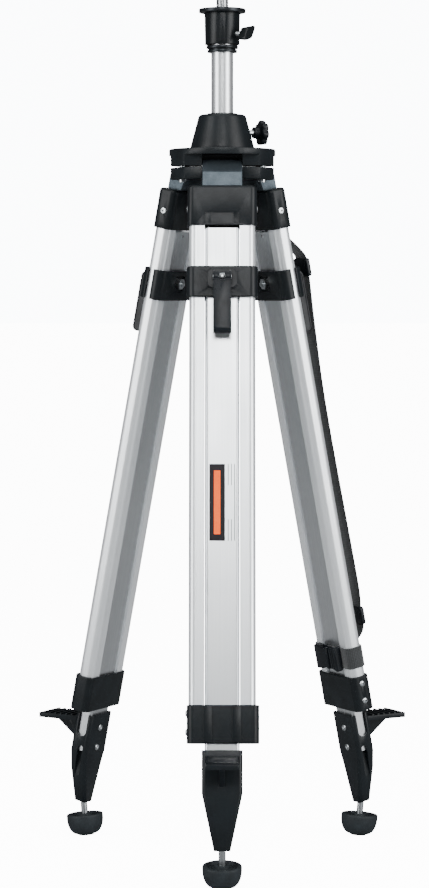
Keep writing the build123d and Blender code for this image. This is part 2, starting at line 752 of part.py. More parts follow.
lever_front = pivot_y - cam_radius
lever_tip_z = -bolt_level - lever_length
pocket_length = lever_length - 2 * lever_rim + lever_round
lever_middle = lever_front + lever_depth / 2
with BuildPart() as clamp_lever:
    with BuildSketch(Plane.YZ):
        with Locations((pivot_y, -bolt_level)):
            Circle(cam_radius)
        with Locations((lever_middle, lever_tip_z + lever_length / 2)):
            RectangleRounded(lever_depth, lever_length, lever_round)
    extrude(amount=lever_width / 2, both=True)
    with BuildSketch(Plane.YZ):
        with Locations((lever_front + lever_wall + lever_depth, lever_tip_z + lever_tip + lever_length)):
            Rectangle(2 * lever_depth, 2 * lever_length)
    extrude(amount=lever_width / 2 - lever_wall, both=True, mode=Mode.SUBTRACT)
    for side in (-1, 1):
        with BuildSketch(Plane.YZ.offset(side * (lever_width / 2 - lever_pocket))):
            with Locations((lever_middle, lever_tip_z + lever_rim + pocket_length / 2)):
                RectangleRounded(lever_depth - 2 * lever_rim, pocket_length, lever_round - lever_rim)
        extrude(amount=side * 2 * lever_pocket, mode=Mode.SUBTRACT)
    with BuildSketch(Plane.XZ.offset(-lever_front)):
        with Locations((0, -bolt_level)):
            SlotOverall(lever_slot_length, lever_slot_width, rotation=90)
    extrude(amount=2 * cam_radius, both=True, mode=Mode.SUBTRACT)
    with Locations(Location((0, pivot_y, -bolt_level), (0, 90, 0))):
        Cylinder(lever_pin_radius + running, lever_width + 2, mode=Mode.SUBTRACT)
save_for_legs("clamp_lever", clamp_lever.part)

# ---------------------------------------------------------------------------------------------
# Foot casting with tread, rivets, rod and pad
# ---------------------------------------------------------------------------------------------
foot_width = blade_width + 2 * foot_side_wall
foot_knee = foot_top + foot_straight
rod_top = 70.0              # top of the rod over the pad's base
rod_bottom = pad_bore_floor + pad_travel + 1.0
notch_width = 14.0
notch_depth = 30.0
flute_floor = 16.5          # bottom of each side flute, from the foot's middle
flute_length = 44.0
flute_width = 7.5
flute_turn = 86.0
flute_rise = 10.0           # top of each flute over the foot's knee
flute_middle = middle + 1.5
slot_pitch = 8.6
slot_gap = 4.6
tip_middle = middle + foot_depth / 2 - foot_tip_depth / 2 + 2.0
bulge_width = foot_width + (foot_tip_width - foot_width) * foot_bulge
bulge_depth = foot_depth + (foot_tip_depth - foot_depth) * foot_bulge_depth
bulge_middle = middle + (tip_middle - middle) * foot_bulge_depth
bulge_level = foot_knee + (foot_tip - foot_knee) * foot_bulge

with BuildPart() as foot:
    with BuildSketch(Plane.XY.offset(-foot_knee)):
        with Locations((0, middle)):
            RectangleRounded(foot_width, foot_depth, 5.0)
    extrude(amount=foot_straight)
    with BuildSketch(Plane.XY.offset(-foot_knee)):
        with Locations((0, middle)):
            RectangleRounded(foot_width, foot_depth, 5.0)
    with BuildSketch(Plane.XY.offset(-bulge_level)):
        with Locations((0, bulge_middle)):
            RectangleRounded(bulge_width, bulge_depth, 5.0)
    with BuildSketch(Plane.XY.offset(-foot_tip)):
        with Locations((0, tip_middle)):
            RectangleRounded(foot_tip_width, foot_tip_depth, 5.0)
    loft(ruled=True)
    with BuildSketch(Plane(tread_frame)):
        with Locations((0, -tread_length / 2)):
            RectangleRounded(tread_width, tread_length + 8.0, 3.0)
    extrude(amount=-tread_thickness)
    with BuildSketch(Plane(tread_frame)):
        with Locations((0, -tread_length / 2 - 3.0)):
            with GridLocations(0, slot_pitch, 1, tread_slots):
                SlotOverall(tread_width - 12.0, slot_gap)
    extrude(amount=-2 * tread_thickness, mode=Mode.SUBTRACT)
    with BuildSketch(Plane(tread_frame)):
        with Locations((0, -tread_length / 2 - 3.0)):
            with GridLocations(0, slot_pitch, 1, tread_slots + 1):
                Rectangle(tread_width - 4.0, slot_pitch - slot_gap - 1.4)
    extrude(amount=tread_rib)
    with BuildSketch(Plane.YZ):
        with BuildLine():
            gusset_top = tread_level - tread_thickness
            gusset = Polyline(
                (tread_root + 2.0, gusset_top + 2.0),
                (tread_root - 44.0, gusset_top - 8.0),
                (tread_root + 2.0, gusset_top - 32.0),
            )
            Line(gusset @ 1, gusset @ 0)
        make_face()
    extrude(amount=3.5, both=True)
    with BuildSketch(Plane.XY.offset(-blade_base)):
        with Locations((0, middle)):
            RectangleRounded(blade_width, blade_depth, blade_corner)
    extrude(amount=socket_depth, mode=Mode.SUBTRACT)
    with BuildSketch(Plane.YZ):
        with Locations((middle, -foot_top)):
            SlotOverall(2 * notch_depth, notch_width, rotation=90)
    extrude(amount=foot_width, both=True, mode=Mode.SUBTRACT)
    for side in (-1, 1):
        with BuildSketch(Plane.YZ.offset(side * flute_floor)):
            with Locations((flute_middle, -foot_knee - flute_length / 2 + flute_rise)):
                SlotOverall(flute_length, flute_width, rotation=flute_turn)
        extrude(amount=side * foot_width, mode=Mode.SUBTRACT)
    with Locations(pad_frame):
        Cylinder(rod_radius, rod_top, align=(Align.CENTER, Align.CENTER, Align.MIN), mode=Mode.SUBTRACT)
save_for_legs("foot", foot.part)

rivet_radius = 2.2
rivet_levels = (foot_top + 18.5, foot_top + 45.5)
foot_inner = middle + foot_depth / 2
with BuildPart() as foot_rivets:
    for level in rivet_levels:
        with Locations(Location((0, foot_inner, -level), (-90, 0, 0))):
            Cylinder(2 * rivet_radius, 1.2, align=(Align.CENTER, Align.CENTER, Align.MIN))
save_for_legs("foot_rivets", foot_rivets.part)

with BuildPart() as foot_rod:
    with BuildSketch(Plane.XY.offset(rod_bottom)):
        Circle(rod_radius)
    extrude(amount=rod_top - rod_bottom)
save_for_legs("foot_rod", foot_rod.part, pad_frame)

pad_bevel = 1.5
pad_groove = 2.0
with BuildPart() as rubber_pad:
    with BuildSketch(Plane.XZ):
        with BuildLine():
            step = Polyline(
                (0, 0),
                (pad_step_radius, 0),
                (pad_step_radius, pad_step_height),
            )
            bowl = ThreePointArc(
                step @ 1,
                (pad_radius * 0.84, pad_height * 0.42),
                (pad_radius, pad_height - 4.0),
            )
            rim = Polyline(
                bowl @ 1,
                (pad_radius, pad_height - pad_bevel),
                (pad_radius - pad_bevel, pad_height),
                (pad_radius - 5.0, pad_height),
                (pad_radius - 5.0, pad_height - pad_groove),
                (rod_radius + 5.0, pad_height - pad_groove),
                (rod_radius + 5.0, pad_height + 0.5),
                (rod_radius + running, pad_height + 0.5),
                (rod_radius + running, pad_bore_floor),
                (0, pad_bore_floor),
            )
            Line(rim @ 1, step @ 0)
        make_face()
    revolve(axis=Axis.Z)
save_for_legs("rubber_pad", rubber_pad.part, pad_frame)

# ---------------------------------------------------------------------------------------------
# Carrying strap on the right leg
# ---------------------------------------------------------------------------------------------
only_right = ("right",)
strap_x = strap_width / 2
binding_bottom = collar_top - binding_gap
binding_top = binding_bottom - binding_height
binding_front = middle - rail_depth / 2 - 2 * fit - strap_thickness
run_y = -strap_standoff
slider_upper = clamp_top + 8.5
slider_lower = binding_top - 30.0
upper_out = 8.0             # the strap bows further out over the lever

with BuildPart() as shoulder_strap:
    with BuildSketch(Plane.YZ):
        with BuildLine():
            FilletPolyline(
                (middle - rail_depth / 2 - 1.4, -cap_top - cap_height - 1.2),
                (middle - rail_depth / 2 - 1.4, -cap_top - cap_height - 6.0),
                (run_y - upper_out, -slider_upper + 16.5),
                (run_y - upper_out, -slider_upper - 14.0),
                (run_y, -slider_upper - 150.0),
                (run_y, -slider_lower - 14.0),
                (run_y + 5.0, -binding_top + 7.0),
                (binding_front - 1.2, -binding_top - 6.0),
                (binding_front - 1.2, -binding_bottom + 6.0),
                radius=3.0,
            )
            offset(amount=strap_thickness / 2, side=Side.BOTH)
        make_face()
    extrude(amount=strap_x, both=True)
save_for_legs("shoulder_strap", shoulder_strap.part, legs=only_right)

slider_wall = 2.2
slider_height = 24.0
slider_width = strap_width + 6.0


def slider(centre_y, level):
    """Flat frame that the strap passes through."""
    with Locations((0, centre_y, -level)):
        Box(slider_width, strap_thickness + 2 * slider_wall, slider_height)
        Box(strap_width + 6 * fit, strap_thickness + 6 * fit, slider_height + 1, mode=Mode.SUBTRACT)


with BuildPart() as strap_sliders:
    slider(run_y - upper_out, slider_upper - 2.0)
    slider(run_y, slider_lower)
save_for_legs("strap_sliders", strap_sliders.part, legs=only_right)

with BuildPart() as binding_strap:
    with BuildSketch(Plane.XY.offset(-binding_bottom)):
        with Locations((0, middle)):
            RectangleRounded(
                leg_width + 4 * fit + 2 * strap_thickness,
                rail_depth + 4 * fit + 2 * strap_thickness,
                rail_corner + 2 * fit + strap_thickness,
            )
            RectangleRounded(
                leg_width + 4 * fit,
                rail_depth + 4 * fit,
                rail_corner + 2 * fit,
                mode=Mode.SUBTRACT,
            )
    extrude(amount=binding_height)
save_for_legs("binding_strap", binding_strap.part, legs=only_right)

buckle_width = 50.0
buckle_height = 33.0
buckle_thickness = 10.5
binding_back = middle + rail_depth / 2 + 2 * fit + strap_thickness
with BuildPart() as strap_buckle:
    with BuildSketch(Plane.XZ.offset(-binding_back - buckle_thickness)):
        with Locations((0, -binding_bottom + binding_height / 2)):
            RectangleRounded(buckle_width, buckle_height, 5.0)
    extrude(amount=buckle_thickness)
    fillet(strap_buckle.edges().group_by(Axis.Y)[-1], 2.5)
save_for_legs("strap_buckle", strap_buckle.part, legs=only_right)
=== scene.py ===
"""Looks of the elevating tripod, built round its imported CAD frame.

Lengths are in millimetres until a mesh is placed, and in metres from then on. Each leg has its own
frame: origin on its hinge axis, X along that axis, -Y outwards and Z up the leg.
"""

import json
import logging
import math
from dataclasses import dataclass
from enum import Enum
from typing import Iterable, Optional, Sequence

import bmesh
import bpy
from mathutils import Euler, Matrix, Vector


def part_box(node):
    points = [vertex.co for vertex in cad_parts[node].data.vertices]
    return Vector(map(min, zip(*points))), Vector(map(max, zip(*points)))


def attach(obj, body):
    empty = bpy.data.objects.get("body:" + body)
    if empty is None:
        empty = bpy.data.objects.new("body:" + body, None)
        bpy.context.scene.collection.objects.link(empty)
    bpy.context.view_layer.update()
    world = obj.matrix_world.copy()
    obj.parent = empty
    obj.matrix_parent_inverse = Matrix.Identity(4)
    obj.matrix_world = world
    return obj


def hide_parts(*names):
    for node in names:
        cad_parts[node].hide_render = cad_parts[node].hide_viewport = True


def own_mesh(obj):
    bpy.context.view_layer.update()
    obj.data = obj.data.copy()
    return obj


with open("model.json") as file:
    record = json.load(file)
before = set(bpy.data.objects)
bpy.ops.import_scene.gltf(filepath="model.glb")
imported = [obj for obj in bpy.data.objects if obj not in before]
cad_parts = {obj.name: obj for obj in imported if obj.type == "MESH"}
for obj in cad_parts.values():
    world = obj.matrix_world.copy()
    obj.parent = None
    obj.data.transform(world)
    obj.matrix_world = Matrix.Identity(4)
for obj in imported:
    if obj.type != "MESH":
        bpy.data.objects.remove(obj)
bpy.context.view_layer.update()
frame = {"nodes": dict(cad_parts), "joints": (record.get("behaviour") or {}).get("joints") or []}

log = logging.getLogger("tripod")
MM = 0.001
Point = tuple[float, float, float]


class Side(Enum):
    """The three legs, by the bodies they ride on."""

    FRONT = "front"
    RIGHT = "right"
    LEFT = "left"


# ------------------------------------------------------------------------------------------
# Small tools for colours and node trees
# ------------------------------------------------------------------------------------------
def linear(hex_code: str, alpha: float = 1.0) -> tuple[float, float, float, float]:
    """Turn an sRGB hex colour to linear light.

    Args:
        hex_code: Six hex digits.
        alpha: Opacity of the colour.

    Returns:
        Linear red, green, blue and alpha.
    """
    parts = [int(hex_code[i:i + 2], 16) / 255 for i in (0, 2, 4)]
    light = [c / 12.92 if c <= 0.04045 else ((c + 0.055) / 1.055) ** 2.4 for c in parts]
    return (light[0], light[1], light[2], alpha)


def add(tree: bpy.types.NodeTree, kind: str, feeds: Optional[dict] = None, **settings) -> bpy.types.Node:
    """Add a node with its settings and what feeds its inputs.

    Args:
        tree: The tree that gets the node.
        kind: Blender's name for the node.
        feeds: Input name or index to a constant, or to the socket that feeds it.
        **settings: Properties of the node.

    Returns:
        The new node.
    """
    node = tree.nodes.new(kind)
    for key, value in settings.items():
        setattr(node, key, value)
    for key, value in (feeds or {}).items():
        if isinstance(value, bpy.types.NodeSocket):
            tree.links.new(value, node.inputs[key])
        else:
            node.inputs[key].default_value = value
    return node


def ramp(tree: bpy.types.NodeTree, factor: bpy.types.NodeSocket, stops: Sequence[tuple]) -> bpy.types.Node:
    """Add a colour ramp.

    Args:
        tree: The tree that gets the ramp.
        factor: What drives the ramp.
        stops: Position and linear colour of each stop.

    Returns:
        The ramp node.
    """
    node = add(tree, "ShaderNodeValToRGB", {"Fac": factor})
    elements = node.color_ramp.elements
    elements[0].position, elements[0].color = stops[0]
    elements[1].position, elements[1].color = stops[-1]
    for position, colour in stops[1:-1]:
        elements.new(position).color = colour
    return node


def grey(value: float) -> tuple[float, float, float, float]:
    """A neutral ramp colour that stands for a plain number."""
    return (value, value, value, 1.0)


# ------------------------------------------------------------------------------------------
# Finishes
# ------------------------------------------------------------------------------------------
@dataclass(frozen=True)
class Finish:
    """What every finish shares: its names, its colours, and its typical roughness.

    Attributes:
        name: Name of the material.
        slot: Material slot of the record that it belongs to. It is not used.
        dark: Colour of its low or dusty spots, sRGB hex.
        light: Colour of its high or polished spots, sRGB hex.
        smooth: Roughness where it is polished.
        rough: Roughness where it is matt.
        metallic: 1 for bare metal, 0 for paint, plastic and rubber.
        grain_mm: Size of the fine pattern.
        patch_mm: Size of the slow change of tone.
        bump: Height of the fine pattern in millimetres.
    """

    name: str
    slot: str
    dark: str
    light: str
    smooth: float
    rough: float
    metallic: float
    grain_mm: float
    patch_mm: float
    bump: float

    def grain(self, tree: bpy.types.NodeTree, place: bpy.types.NodeSocket) -> bpy.types.NodeSocket:
        """Fine pattern of the surface, the same in every direction."""
        noise = add(tree, "ShaderNodeTexNoise", {
            "Vector": place, "Scale": 1 / (self.grain_mm * MM), "Detail": 3.0, "Roughness": 0.6})
        return noise.outputs["Fac"]

    def place(self, tree: bpy.types.NodeTree) -> bpy.types.NodeSocket:
        """Coordinates that the patterns read."""
        return add(tree, "ShaderNodeTexCoord").outputs["Object"]

    def extra(self, shader: bpy.types.Node) -> None:
        """Constants that only this finish has."""

    def material(self) -> bpy.types.Material:
        """The finish as a Blender material, made once."""
        found = bpy.data.materials.get(self.name)
        if found:
            return found
        made = bpy.data.materials.new(self.name)
        made.use_nodes = True
        tree = made.node_tree
        shader = tree.nodes["Principled BSDF"]
        place = self.place(tree)
        grain = self.grain(tree, place)
        patches = add(tree, "ShaderNodeTexNoise", {
            "Vector": place, "Scale": 1 / (self.patch_mm * MM), "Detail": 4.0, "Roughness": 0.55})
        mixed = add(tree, "ShaderNodeMath", {0: grain, 1: patches.outputs["Fac"]}, operation="ADD")
        tone = add(tree, "ShaderNodeMapRange", {
            "Value": mixed.outputs[0], "From Min": 0.6, "From Max": 1.4})
        colour = ramp(tree, tone.outputs["Result"], [(0.0, linear(self.dark)), (1.0, linear(self.light))])
        gloss = ramp(tree, tone.outputs["Result"], [(0.0, grey(self.rough)), (1.0, grey(self.smooth))])
        relief = add(tree, "ShaderNodeBump", {
            "Height": grain, "Strength": 1.0, "Distance": self.bump * MM})
        tree.links.new(colour.outputs["Color"], shader.inputs["Base Color"])
        tree.links.new(gloss.outputs["Color"], shader.inputs["Roughness"])
        tree.links.new(relief.outputs["Normal"], shader.inputs["Normal"])
        shader.inputs["Metallic"].default_value = self.metallic
        self.extra(shader)
        return made


@dataclass(frozen=True)
class Extrusion(Finish):
    """Satin anodised extrusion: die lines run its whole length, so the gloss is drawn out across them.

    Attributes:
        turn: Turns the pattern so that its Z runs along the extrusion.
    """

    turn: Point = (0.0, 0.0, 0.0)

    def place(self, tree: bpy.types.NodeTree) -> bpy.types.NodeSocket:
        """Coordinates turned so that Z runs along the extrusion."""
        start = add(tree, "ShaderNodeTexCoord").outputs["Object"]
        turned = add(tree, "ShaderNodeMapping", {"Vector": start, "Rotation": self.turn})
        return turned.outputs["Vector"]

    def grain(self, tree: bpy.types.NodeTree, place: bpy.types.NodeSocket) -> bpy.types.NodeSocket:
        """Lines a grain wide and two hundred grains long."""
        drawn = add(tree, "ShaderNodeMapping", {"Vector": place, "Scale": (1.0, 1.0, 0.005)})
        noise = add(tree, "ShaderNodeTexNoise", {
            "Vector": drawn.outputs["Vector"], "Scale": 1 / (self.grain_mm * MM), "Detail": 2.0})
        return noise.outputs["Fac"]


@dataclass(frozen=True)
class Webbing(Finish):
    """Woven polypropylene webbing: a rib at each weft, and fine warp cords across the width.

    Attributes:
        rib_mm: Pitch of the ribs along the strap. Real ones are 1.2 mm, drawn at 2.4 mm to show.
        cord_mm: Pitch of the warp cords.
    """

    rib_mm: float = 2.4
    cord_mm: float = 2.0

    def place(self, tree: bpy.types.NodeTree) -> bpy.types.NodeSocket:
        """The strap's own map: millimetres across and along."""
        return add(tree, "ShaderNodeTexCoord").outputs["UV"]

    def grain(self, tree: bpy.types.NodeTree, place: bpy.types.NodeSocket) -> bpy.types.NodeSocket:
        """Rounded cells of a plain weave, with each second row shifted by half a cord."""
        split = add(tree, "ShaderNodeSeparateXYZ", {"Vector": place})
        rows = add(tree, "ShaderNodeMath", {
            0: split.outputs["Y"], 1: math.pi / (self.rib_mm * MM)}, operation="MULTIPLY")
        cords = add(tree, "ShaderNodeMath", {
            0: split.outputs["X"], 1: math.pi / (self.cord_mm * MM)}, operation="MULTIPLY")
        row_wave = add(tree, "ShaderNodeMath", {0: rows.outputs[0]}, operation="SINE")
        cord_wave = add(tree, "ShaderNodeMath", {0: cords.outputs[0]}, operation="SINE")
        weave = add(tree, "ShaderNodeMath", {
            0: row_wave.outputs[0], 1: cord_wave.outputs[0]}, operation="MULTIPLY")
        cell = add(tree, "ShaderNodeMath", {0: weave.outputs[0]}, operation="ABSOLUTE")
        return cell.outputs[0]

    def extra(self, shader: bpy.types.Node) -> None:
        """Loose fibre ends give a soft edge light."""
        shader.inputs["Sheen Weight"].default_value = 0.25
        shader.inputs["Sheen Roughness"].default_value = 0.5


@dataclass(frozen=True)
class Moulded(Finish):
    """Moulded, coated or blasted surface, whose fine texture takes some of its gloss away.

    Attributes:
        shine: Share of a polished surface's reflection that is left.
    """

    shine: float = 1.0

    def extra(self, shader: bpy.types.Node) -> None:
        """The reflection left by the texture."""
        shader.inputs["Specular IOR Level"].default_value = 0.5 * self.shine


# Cast aluminium under textured powder coat: a soft, slightly orange-peeled black-grey.
POWDER_COAT = Moulded(
    "textured_powder_coat", "black_coated_casting", "090C0F", "13181B", 0.3, 0.46, 0.0, 1.4, 30.0, 0.04, 0.42)
# The same coat on the turned and moulded cup, a little darker and smoother.
CUP_COAT = Moulded(
    "satin_powder_coat", "black_coated_casting", "07090B", "0E1215", 0.24, 0.38, 0.0, 1.0, 24.0, 0.02, 0.4)
# Glass-filled nylon with spark texture: dark and matt, paler where hands have rubbed it.
NYLON = Moulded(
    "glass_filled_nylon", "black_plastic", "090C0E", "13171A", 0.28, 0.42, 0.0, 1.3, 18.0, 0.03, 0.36)
# Injection-moulded lever and knob, a bit glossier because they are handled.
HANDLED_NYLON = Moulded(
    "handled_nylon", "black_plastic", "090B0E", "12161A", 0.24, 0.38, 0.0, 1.0, 14.0, 0.015, 0.36)
# Bead-blasted aluminium casting: mid grey with a fine cast skin.
CASTING = Moulded(
    "bead_blasted_casting", "cast_aluminium", "3A4248", "535C62", 0.38, 0.55, 0.75, 1.1, 16.0, 0.04, 0.5)
# Turned ring with black anodising: dark metal with narrow highlights.
BLACK_ANODISED = Moulded(
    "black_anodised_turning", "black_anodised_aluminium", "101316", "1E2327", 0.26, 0.4, 0.6, 0.8, 20.0, 0.01)
# Bright zinc plate on screws, bolts and rods: cool grey with a faint passivated mottle.
ZINC = Moulded(
    "bright_zinc_plate", "steel", "A9AEB1", "D4D8DA", 0.2, 0.36, 1.0, 0.7, 8.0, 0.006)
# Black lacquer on the zinc wing screw.
LACQUER = Moulded(
    "black_lacquered_zinc", "black_zinc_casting", "090B0D", "121517", 0.22, 0.36, 0.0, 1.2, 10.0, 0.015, 0.5)
# Moulded rubber: almost black, dusty grey in its hollows.
RUBBER = Moulded(
    "moulded_rubber", "black_rubber", "0E1215", "1E2428", 0.5, 0.72, 0.0, 1.2, 12.0, 0.04, 0.5)
# Strap webbing, faded black.
WEBBING = Webbing(
    "woven_webbing", "black_webbing", "0A0C0E", "1C2124", 0.66, 0.88, 0.0, 2.4, 26.0, 0.2)
# Printed label film: glossy black with an orange band.
LABEL_BLACK = Moulded(
    "label_black_film", "black_plastic", "0E0B10", "141116", 0.3, 0.4, 0.0, 2.0, 30.0, 0.002, 0.25)
LABEL_ORANGE = Moulded(
    "label_orange_film", "black_plastic", "D24A06", "E25A0C", 0.3, 0.4, 0.0, 2.0, 30.0, 0.002, 0.25)
LABEL_GREY = Moulded(
    "label_grey_print", "black_plastic", "4A5055", "5A6065", 0.3, 0.4, 0.0, 2.0, 30.0, 0.001, 0.25)


def extrusion_finish(name: str, turn: Euler, metallic: float = 0.9) -> Extrusion:
    """Satin anodised aluminium whose lines follow one extrusion.

    Args:
        name: Which extrusion it is for.
        turn: Turns the row frame into the extrusion's own frame.
        metallic: Less where a thick, etched anodic layer scatters the light.

    Returns:
        The finish.
    """
    return Extrusion(
        f"satin_anodised_aluminium_{name}", "satin_aluminium", "D6DADD", "E6E9EB",
        0.28, 0.36, metallic, 1.1, 90.0, 0.002, tuple(turn))


# ------------------------------------------------------------------------------------------
# Mesh tools
# ------------------------------------------------------------------------------------------
def to_object(
    mesh_maker: bmesh.types.BMesh, name: str, place: Matrix, sharp_degrees: float = 35.0
) -> bpy.types.Object:
    """Make a finished piece from a mesh in millimetres.

    Args:
        mesh_maker: The mesh in its own frame, in millimetres.
        name: Name of the piece.
        place: Where its own frame stands, in metres.
        sharp_degrees: Edges that turn by more than this stay sharp.

    Returns:
        The piece, at the origin, with its place in its mesh.
    """
    bmesh.ops.remove_doubles(mesh_maker, verts=mesh_maker.verts, dist=0.001)
    bmesh.ops.transform(mesh_maker, matrix=place @ Matrix.Scale(MM, 4), verts=mesh_maker.verts)
    bmesh.ops.recalc_face_normals(mesh_maker, faces=mesh_maker.faces)
    mesh = bpy.data.meshes.new(name)
    mesh_maker.to_mesh(mesh)
    mesh_maker.free()
    mesh.shade_smooth()
    mesh.set_sharp_from_angle(angle=math.radians(sharp_degrees))
    piece = bpy.data.objects.new(name, mesh)
    bpy.context.scene.collection.objects.link(piece)
    return piece


def dress(piece: bpy.types.Object, finish: Finish) -> bpy.types.Object:
    """Give a piece one finish."""
    piece.data.materials.clear()
    piece.data.materials.append(finish.material())
    return piece


def dress_node(node: str, finish: Finish) -> None:
    """Give a CAD node a finish in its object's own slots."""
    part = frame["nodes"][node]
    if not part.material_slots:
        part.data.materials.append(finish.material())
    for slot in part.material_slots:
        slot.link = "OBJECT"
        slot.material = finish.material()


def add_bevel(
    piece: bpy.types.Object, width_mm: float, segments: int = 2, angle: float = 35.0
) -> bpy.types.Object:
    """Round a piece's sharp edges with a modifier.

    Args:
        piece: The piece.
        width_mm: How far the rounding reaches from the edge.
        segments: Faces across the rounding.
        angle: Edges that turn by more than this are rounded, in degrees.

    Returns:
        The piece.
    """
    modifier = piece.modifiers.new("edges", "BEVEL")
    modifier.width = width_mm * MM
    modifier.segments = segments
    modifier.limit_method = "ANGLE"
    modifier.angle_limit = math.radians(angle)
    modifier.harden_normals = True
    return piece


def rings_to_solid(maker: bmesh.types.BMesh, rings: Sequence[Sequence[Point]]) -> None:
    """Join rings of points into one closed solid.

    Args:
        maker: The mesh that gets the faces.
        rings: Rings with the same number of points, in order along the solid.
    """
    rows = [[maker.verts.new(point) for point in ring] for ring in rings]
    count = len(rows[0])
    for near, far in zip(rows, rows[1:]):
        for i in range(count):
            j = (i + 1) % count
            maker.faces.new((near[i], near[j], far[j], far[i]))
    maker.faces.new(list(reversed(rows[0])))
    maker.faces.new(rows[-1])


def lathe(maker: bmesh.types.BMesh, profile: Sequence[tuple[float, float]], segments: int = 64) -> None:
    """Turn a closed profile about Z.

    Args:
        maker: The mesh that gets the faces.
        profile: Radius and height of each corner, closed back to its start.
        segments: Faces round the axis.
    """
    rows = []
    for radius, height in profile:
        if radius < 1e-6:
            rows.append([maker.verts.new((0, 0, height))] * segments)
            continue
        rows.append([
            maker.verts.new((
                radius * math.cos(2 * math.pi * i / segments),
                radius * math.sin(2 * math.pi * i / segments), height))
            for i in range(segments)])
    for near, far in zip(rows, rows[1:] + rows[:1]):
        for i in range(segments):
            j = (i + 1) % segments
            corners = []
            for vertex in (near[i], near[j], far[j], far[i]):
                if vertex not in corners:
                    corners.append(vertex)
            if len(corners) > 2:
                maker.faces.new(corners)


def rounded_rectangle(width: float, depth: float, radius: float, steps: int = 6) -> list[tuple[float, float]]:
    """Corners of a rounded rectangle about the origin, counter-clockwise.

    Args:
        width: Size along X.
        depth: Size along Y.
        radius: Radius of the corners.
        steps: Segments in each corner.

    Returns:
        The corners.
    """
    points = []
    for quarter, (sx, sy) in enumerate(((1, 1), (-1, 1), (-1, -1), (1, -1))):
        cx, cy = sx * (width / 2 - radius), sy * (depth / 2 - radius)
        for step in range(steps + 1):
            angle = math.pi / 2 * (quarter + step / steps)
            points.append((cx + radius * math.cos(angle), cy + radius * math.sin(angle)))
    return points


def prism(maker: bmesh.types.BMesh, outline: Sequence[tuple[float, float]], low: float, high: float) -> None:
    """Extrude an outline in XY from one height to another."""
    rings_to_solid(maker, [[(x, y, z) for x, y in outline] for z in (low, high)])


def offset_outline(outline: Sequence[tuple[float, float]], inset: float) -> list[tuple[float, float]]:
    """Move each corner of a counter-clockwise outline inwards.

    Args:
        outline: Corners of the outline.
        inset: How far each side moves in.

    Returns:
        As many corners as there were.
    """
    moved = []
    count = len(outline)
    for i, (x, y) in enumerate(outline):
        before, after = Vector(outline[i - 1]), Vector(outline[(i + 1) % count])
        here = Vector((x, y))
        first, second = (here - before), (after - here)
        normals = [Vector((-edge.y, edge.x)).normalized() for edge in (first, second) if edge.length > 1e-6]
        normal = sum(normals, Vector((0, 0)))
        spread = max(normal.length / max(len(normals), 1), 0.5)
        normal.normalize()
        moved.append((x + normal.x * inset / spread, y + normal.y * inset / spread))
    return moved


def soft_prism(
    maker: bmesh.types.BMesh,
    outline: Sequence[tuple[float, float]],
    low: float,
    high: float,
    soft_low: float,
    soft_high: float,
    steps: int = 4,
) -> None:
    """Extrude an outline in XY with rounded rims.

    Args:
        maker: The mesh that gets the faces.
        outline: Corners, counter-clockwise.
        low: Bottom of the prism.
        high: Top of the prism.
        soft_low: Radius of the bottom rim.
        soft_high: Radius of the top rim.
        steps: Faces round each rim.
    """
    rings = []
    for step in range(steps + 1):
        turn = math.pi / 2 * step / steps
        inset = soft_low * (1 - math.sin(turn))
        rings.append((inset, low + soft_low * (1 - math.cos(turn))))
    for step in range(steps + 1):
        turn = math.pi / 2 * step / steps
        inset = soft_high * (1 - math.cos(turn))
        rings.append((inset, high - soft_high * (1 - math.sin(turn))))
    rings_to_solid(maker, [[(x, y, z) for x, y in offset_outline(outline, inset)] for inset, z in rings])


def box_solid(maker: bmesh.types.BMesh, centre: Point, size: Point) -> None:
    """Add a plain block, as a cutter or a starting form."""
    matrix = Matrix.Translation(centre) @ Matrix.Diagonal((*size, 1.0))
    bmesh.ops.create_cube(maker, size=1.0, matrix=matrix)


def cut(piece: bpy.types.Object, cutter_maker: bmesh.types.BMesh, place: Matrix) -> None:
    """Cut a closed shape out of a piece.

    Args:
        piece: The piece, which is changed.
        cutter_maker: The cutter, in the piece's own frame and in millimetres.
        place: Where that frame stands, in metres.
    """
    cutter = to_object(cutter_maker, "cutter", place)
    modifier = piece.modifiers.new("cut", "BOOLEAN")
    modifier.operation = "DIFFERENCE"
    modifier.solver = "EXACT"
    modifier.object = cutter
    settle(piece)
    bpy.data.objects.remove(cutter)


def settle(piece: bpy.types.Object) -> bpy.types.Object:
    """Make the result of a piece's modifiers its plain mesh."""
    graph = bpy.context.evaluated_depsgraph_get()
    mesh = bpy.data.meshes.new_from_object(piece.evaluated_get(graph))
    piece.modifiers.clear()
    piece.data = mesh
    return piece


def refined(nodes: str, edge_mm: float, finish: Finish, body: str, segments: int = 2) -> bpy.types.Object:
    """Take a CAD node's shape and break its sharp edges.

    Args:
        nodes: Name of the node.
        edge_mm: Width of the broken edges.
        finish: Finish of the piece.
        body: Body that the node is on.
        segments: Faces across each broken edge.

    Returns:
        The piece that stands for the node.
    """
    maker = bmesh.new()
    maker.from_mesh(frame["nodes"][nodes].data)
    bmesh.ops.remove_doubles(maker, verts=maker.verts, dist=2e-6)
    bmesh.ops.dissolve_limit(
        maker, angle_limit=math.radians(0.5), verts=maker.verts, edges=maker.edges, delimit={"NORMAL"})
    mesh = bpy.data.meshes.new(f"{nodes}_skin")
    maker.to_mesh(mesh)
    maker.free()
    mesh.shade_smooth()
    piece = bpy.data.objects.new(f"{nodes}_skin", mesh)
    bpy.context.scene.collection.objects.link(piece)
    add_bevel(piece, edge_mm, segments)
    settle(piece)
    piece.data.set_sharp_from_angle(angle=math.radians(40))
    dress(piece, finish)
    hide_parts(nodes)
    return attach(piece, body)


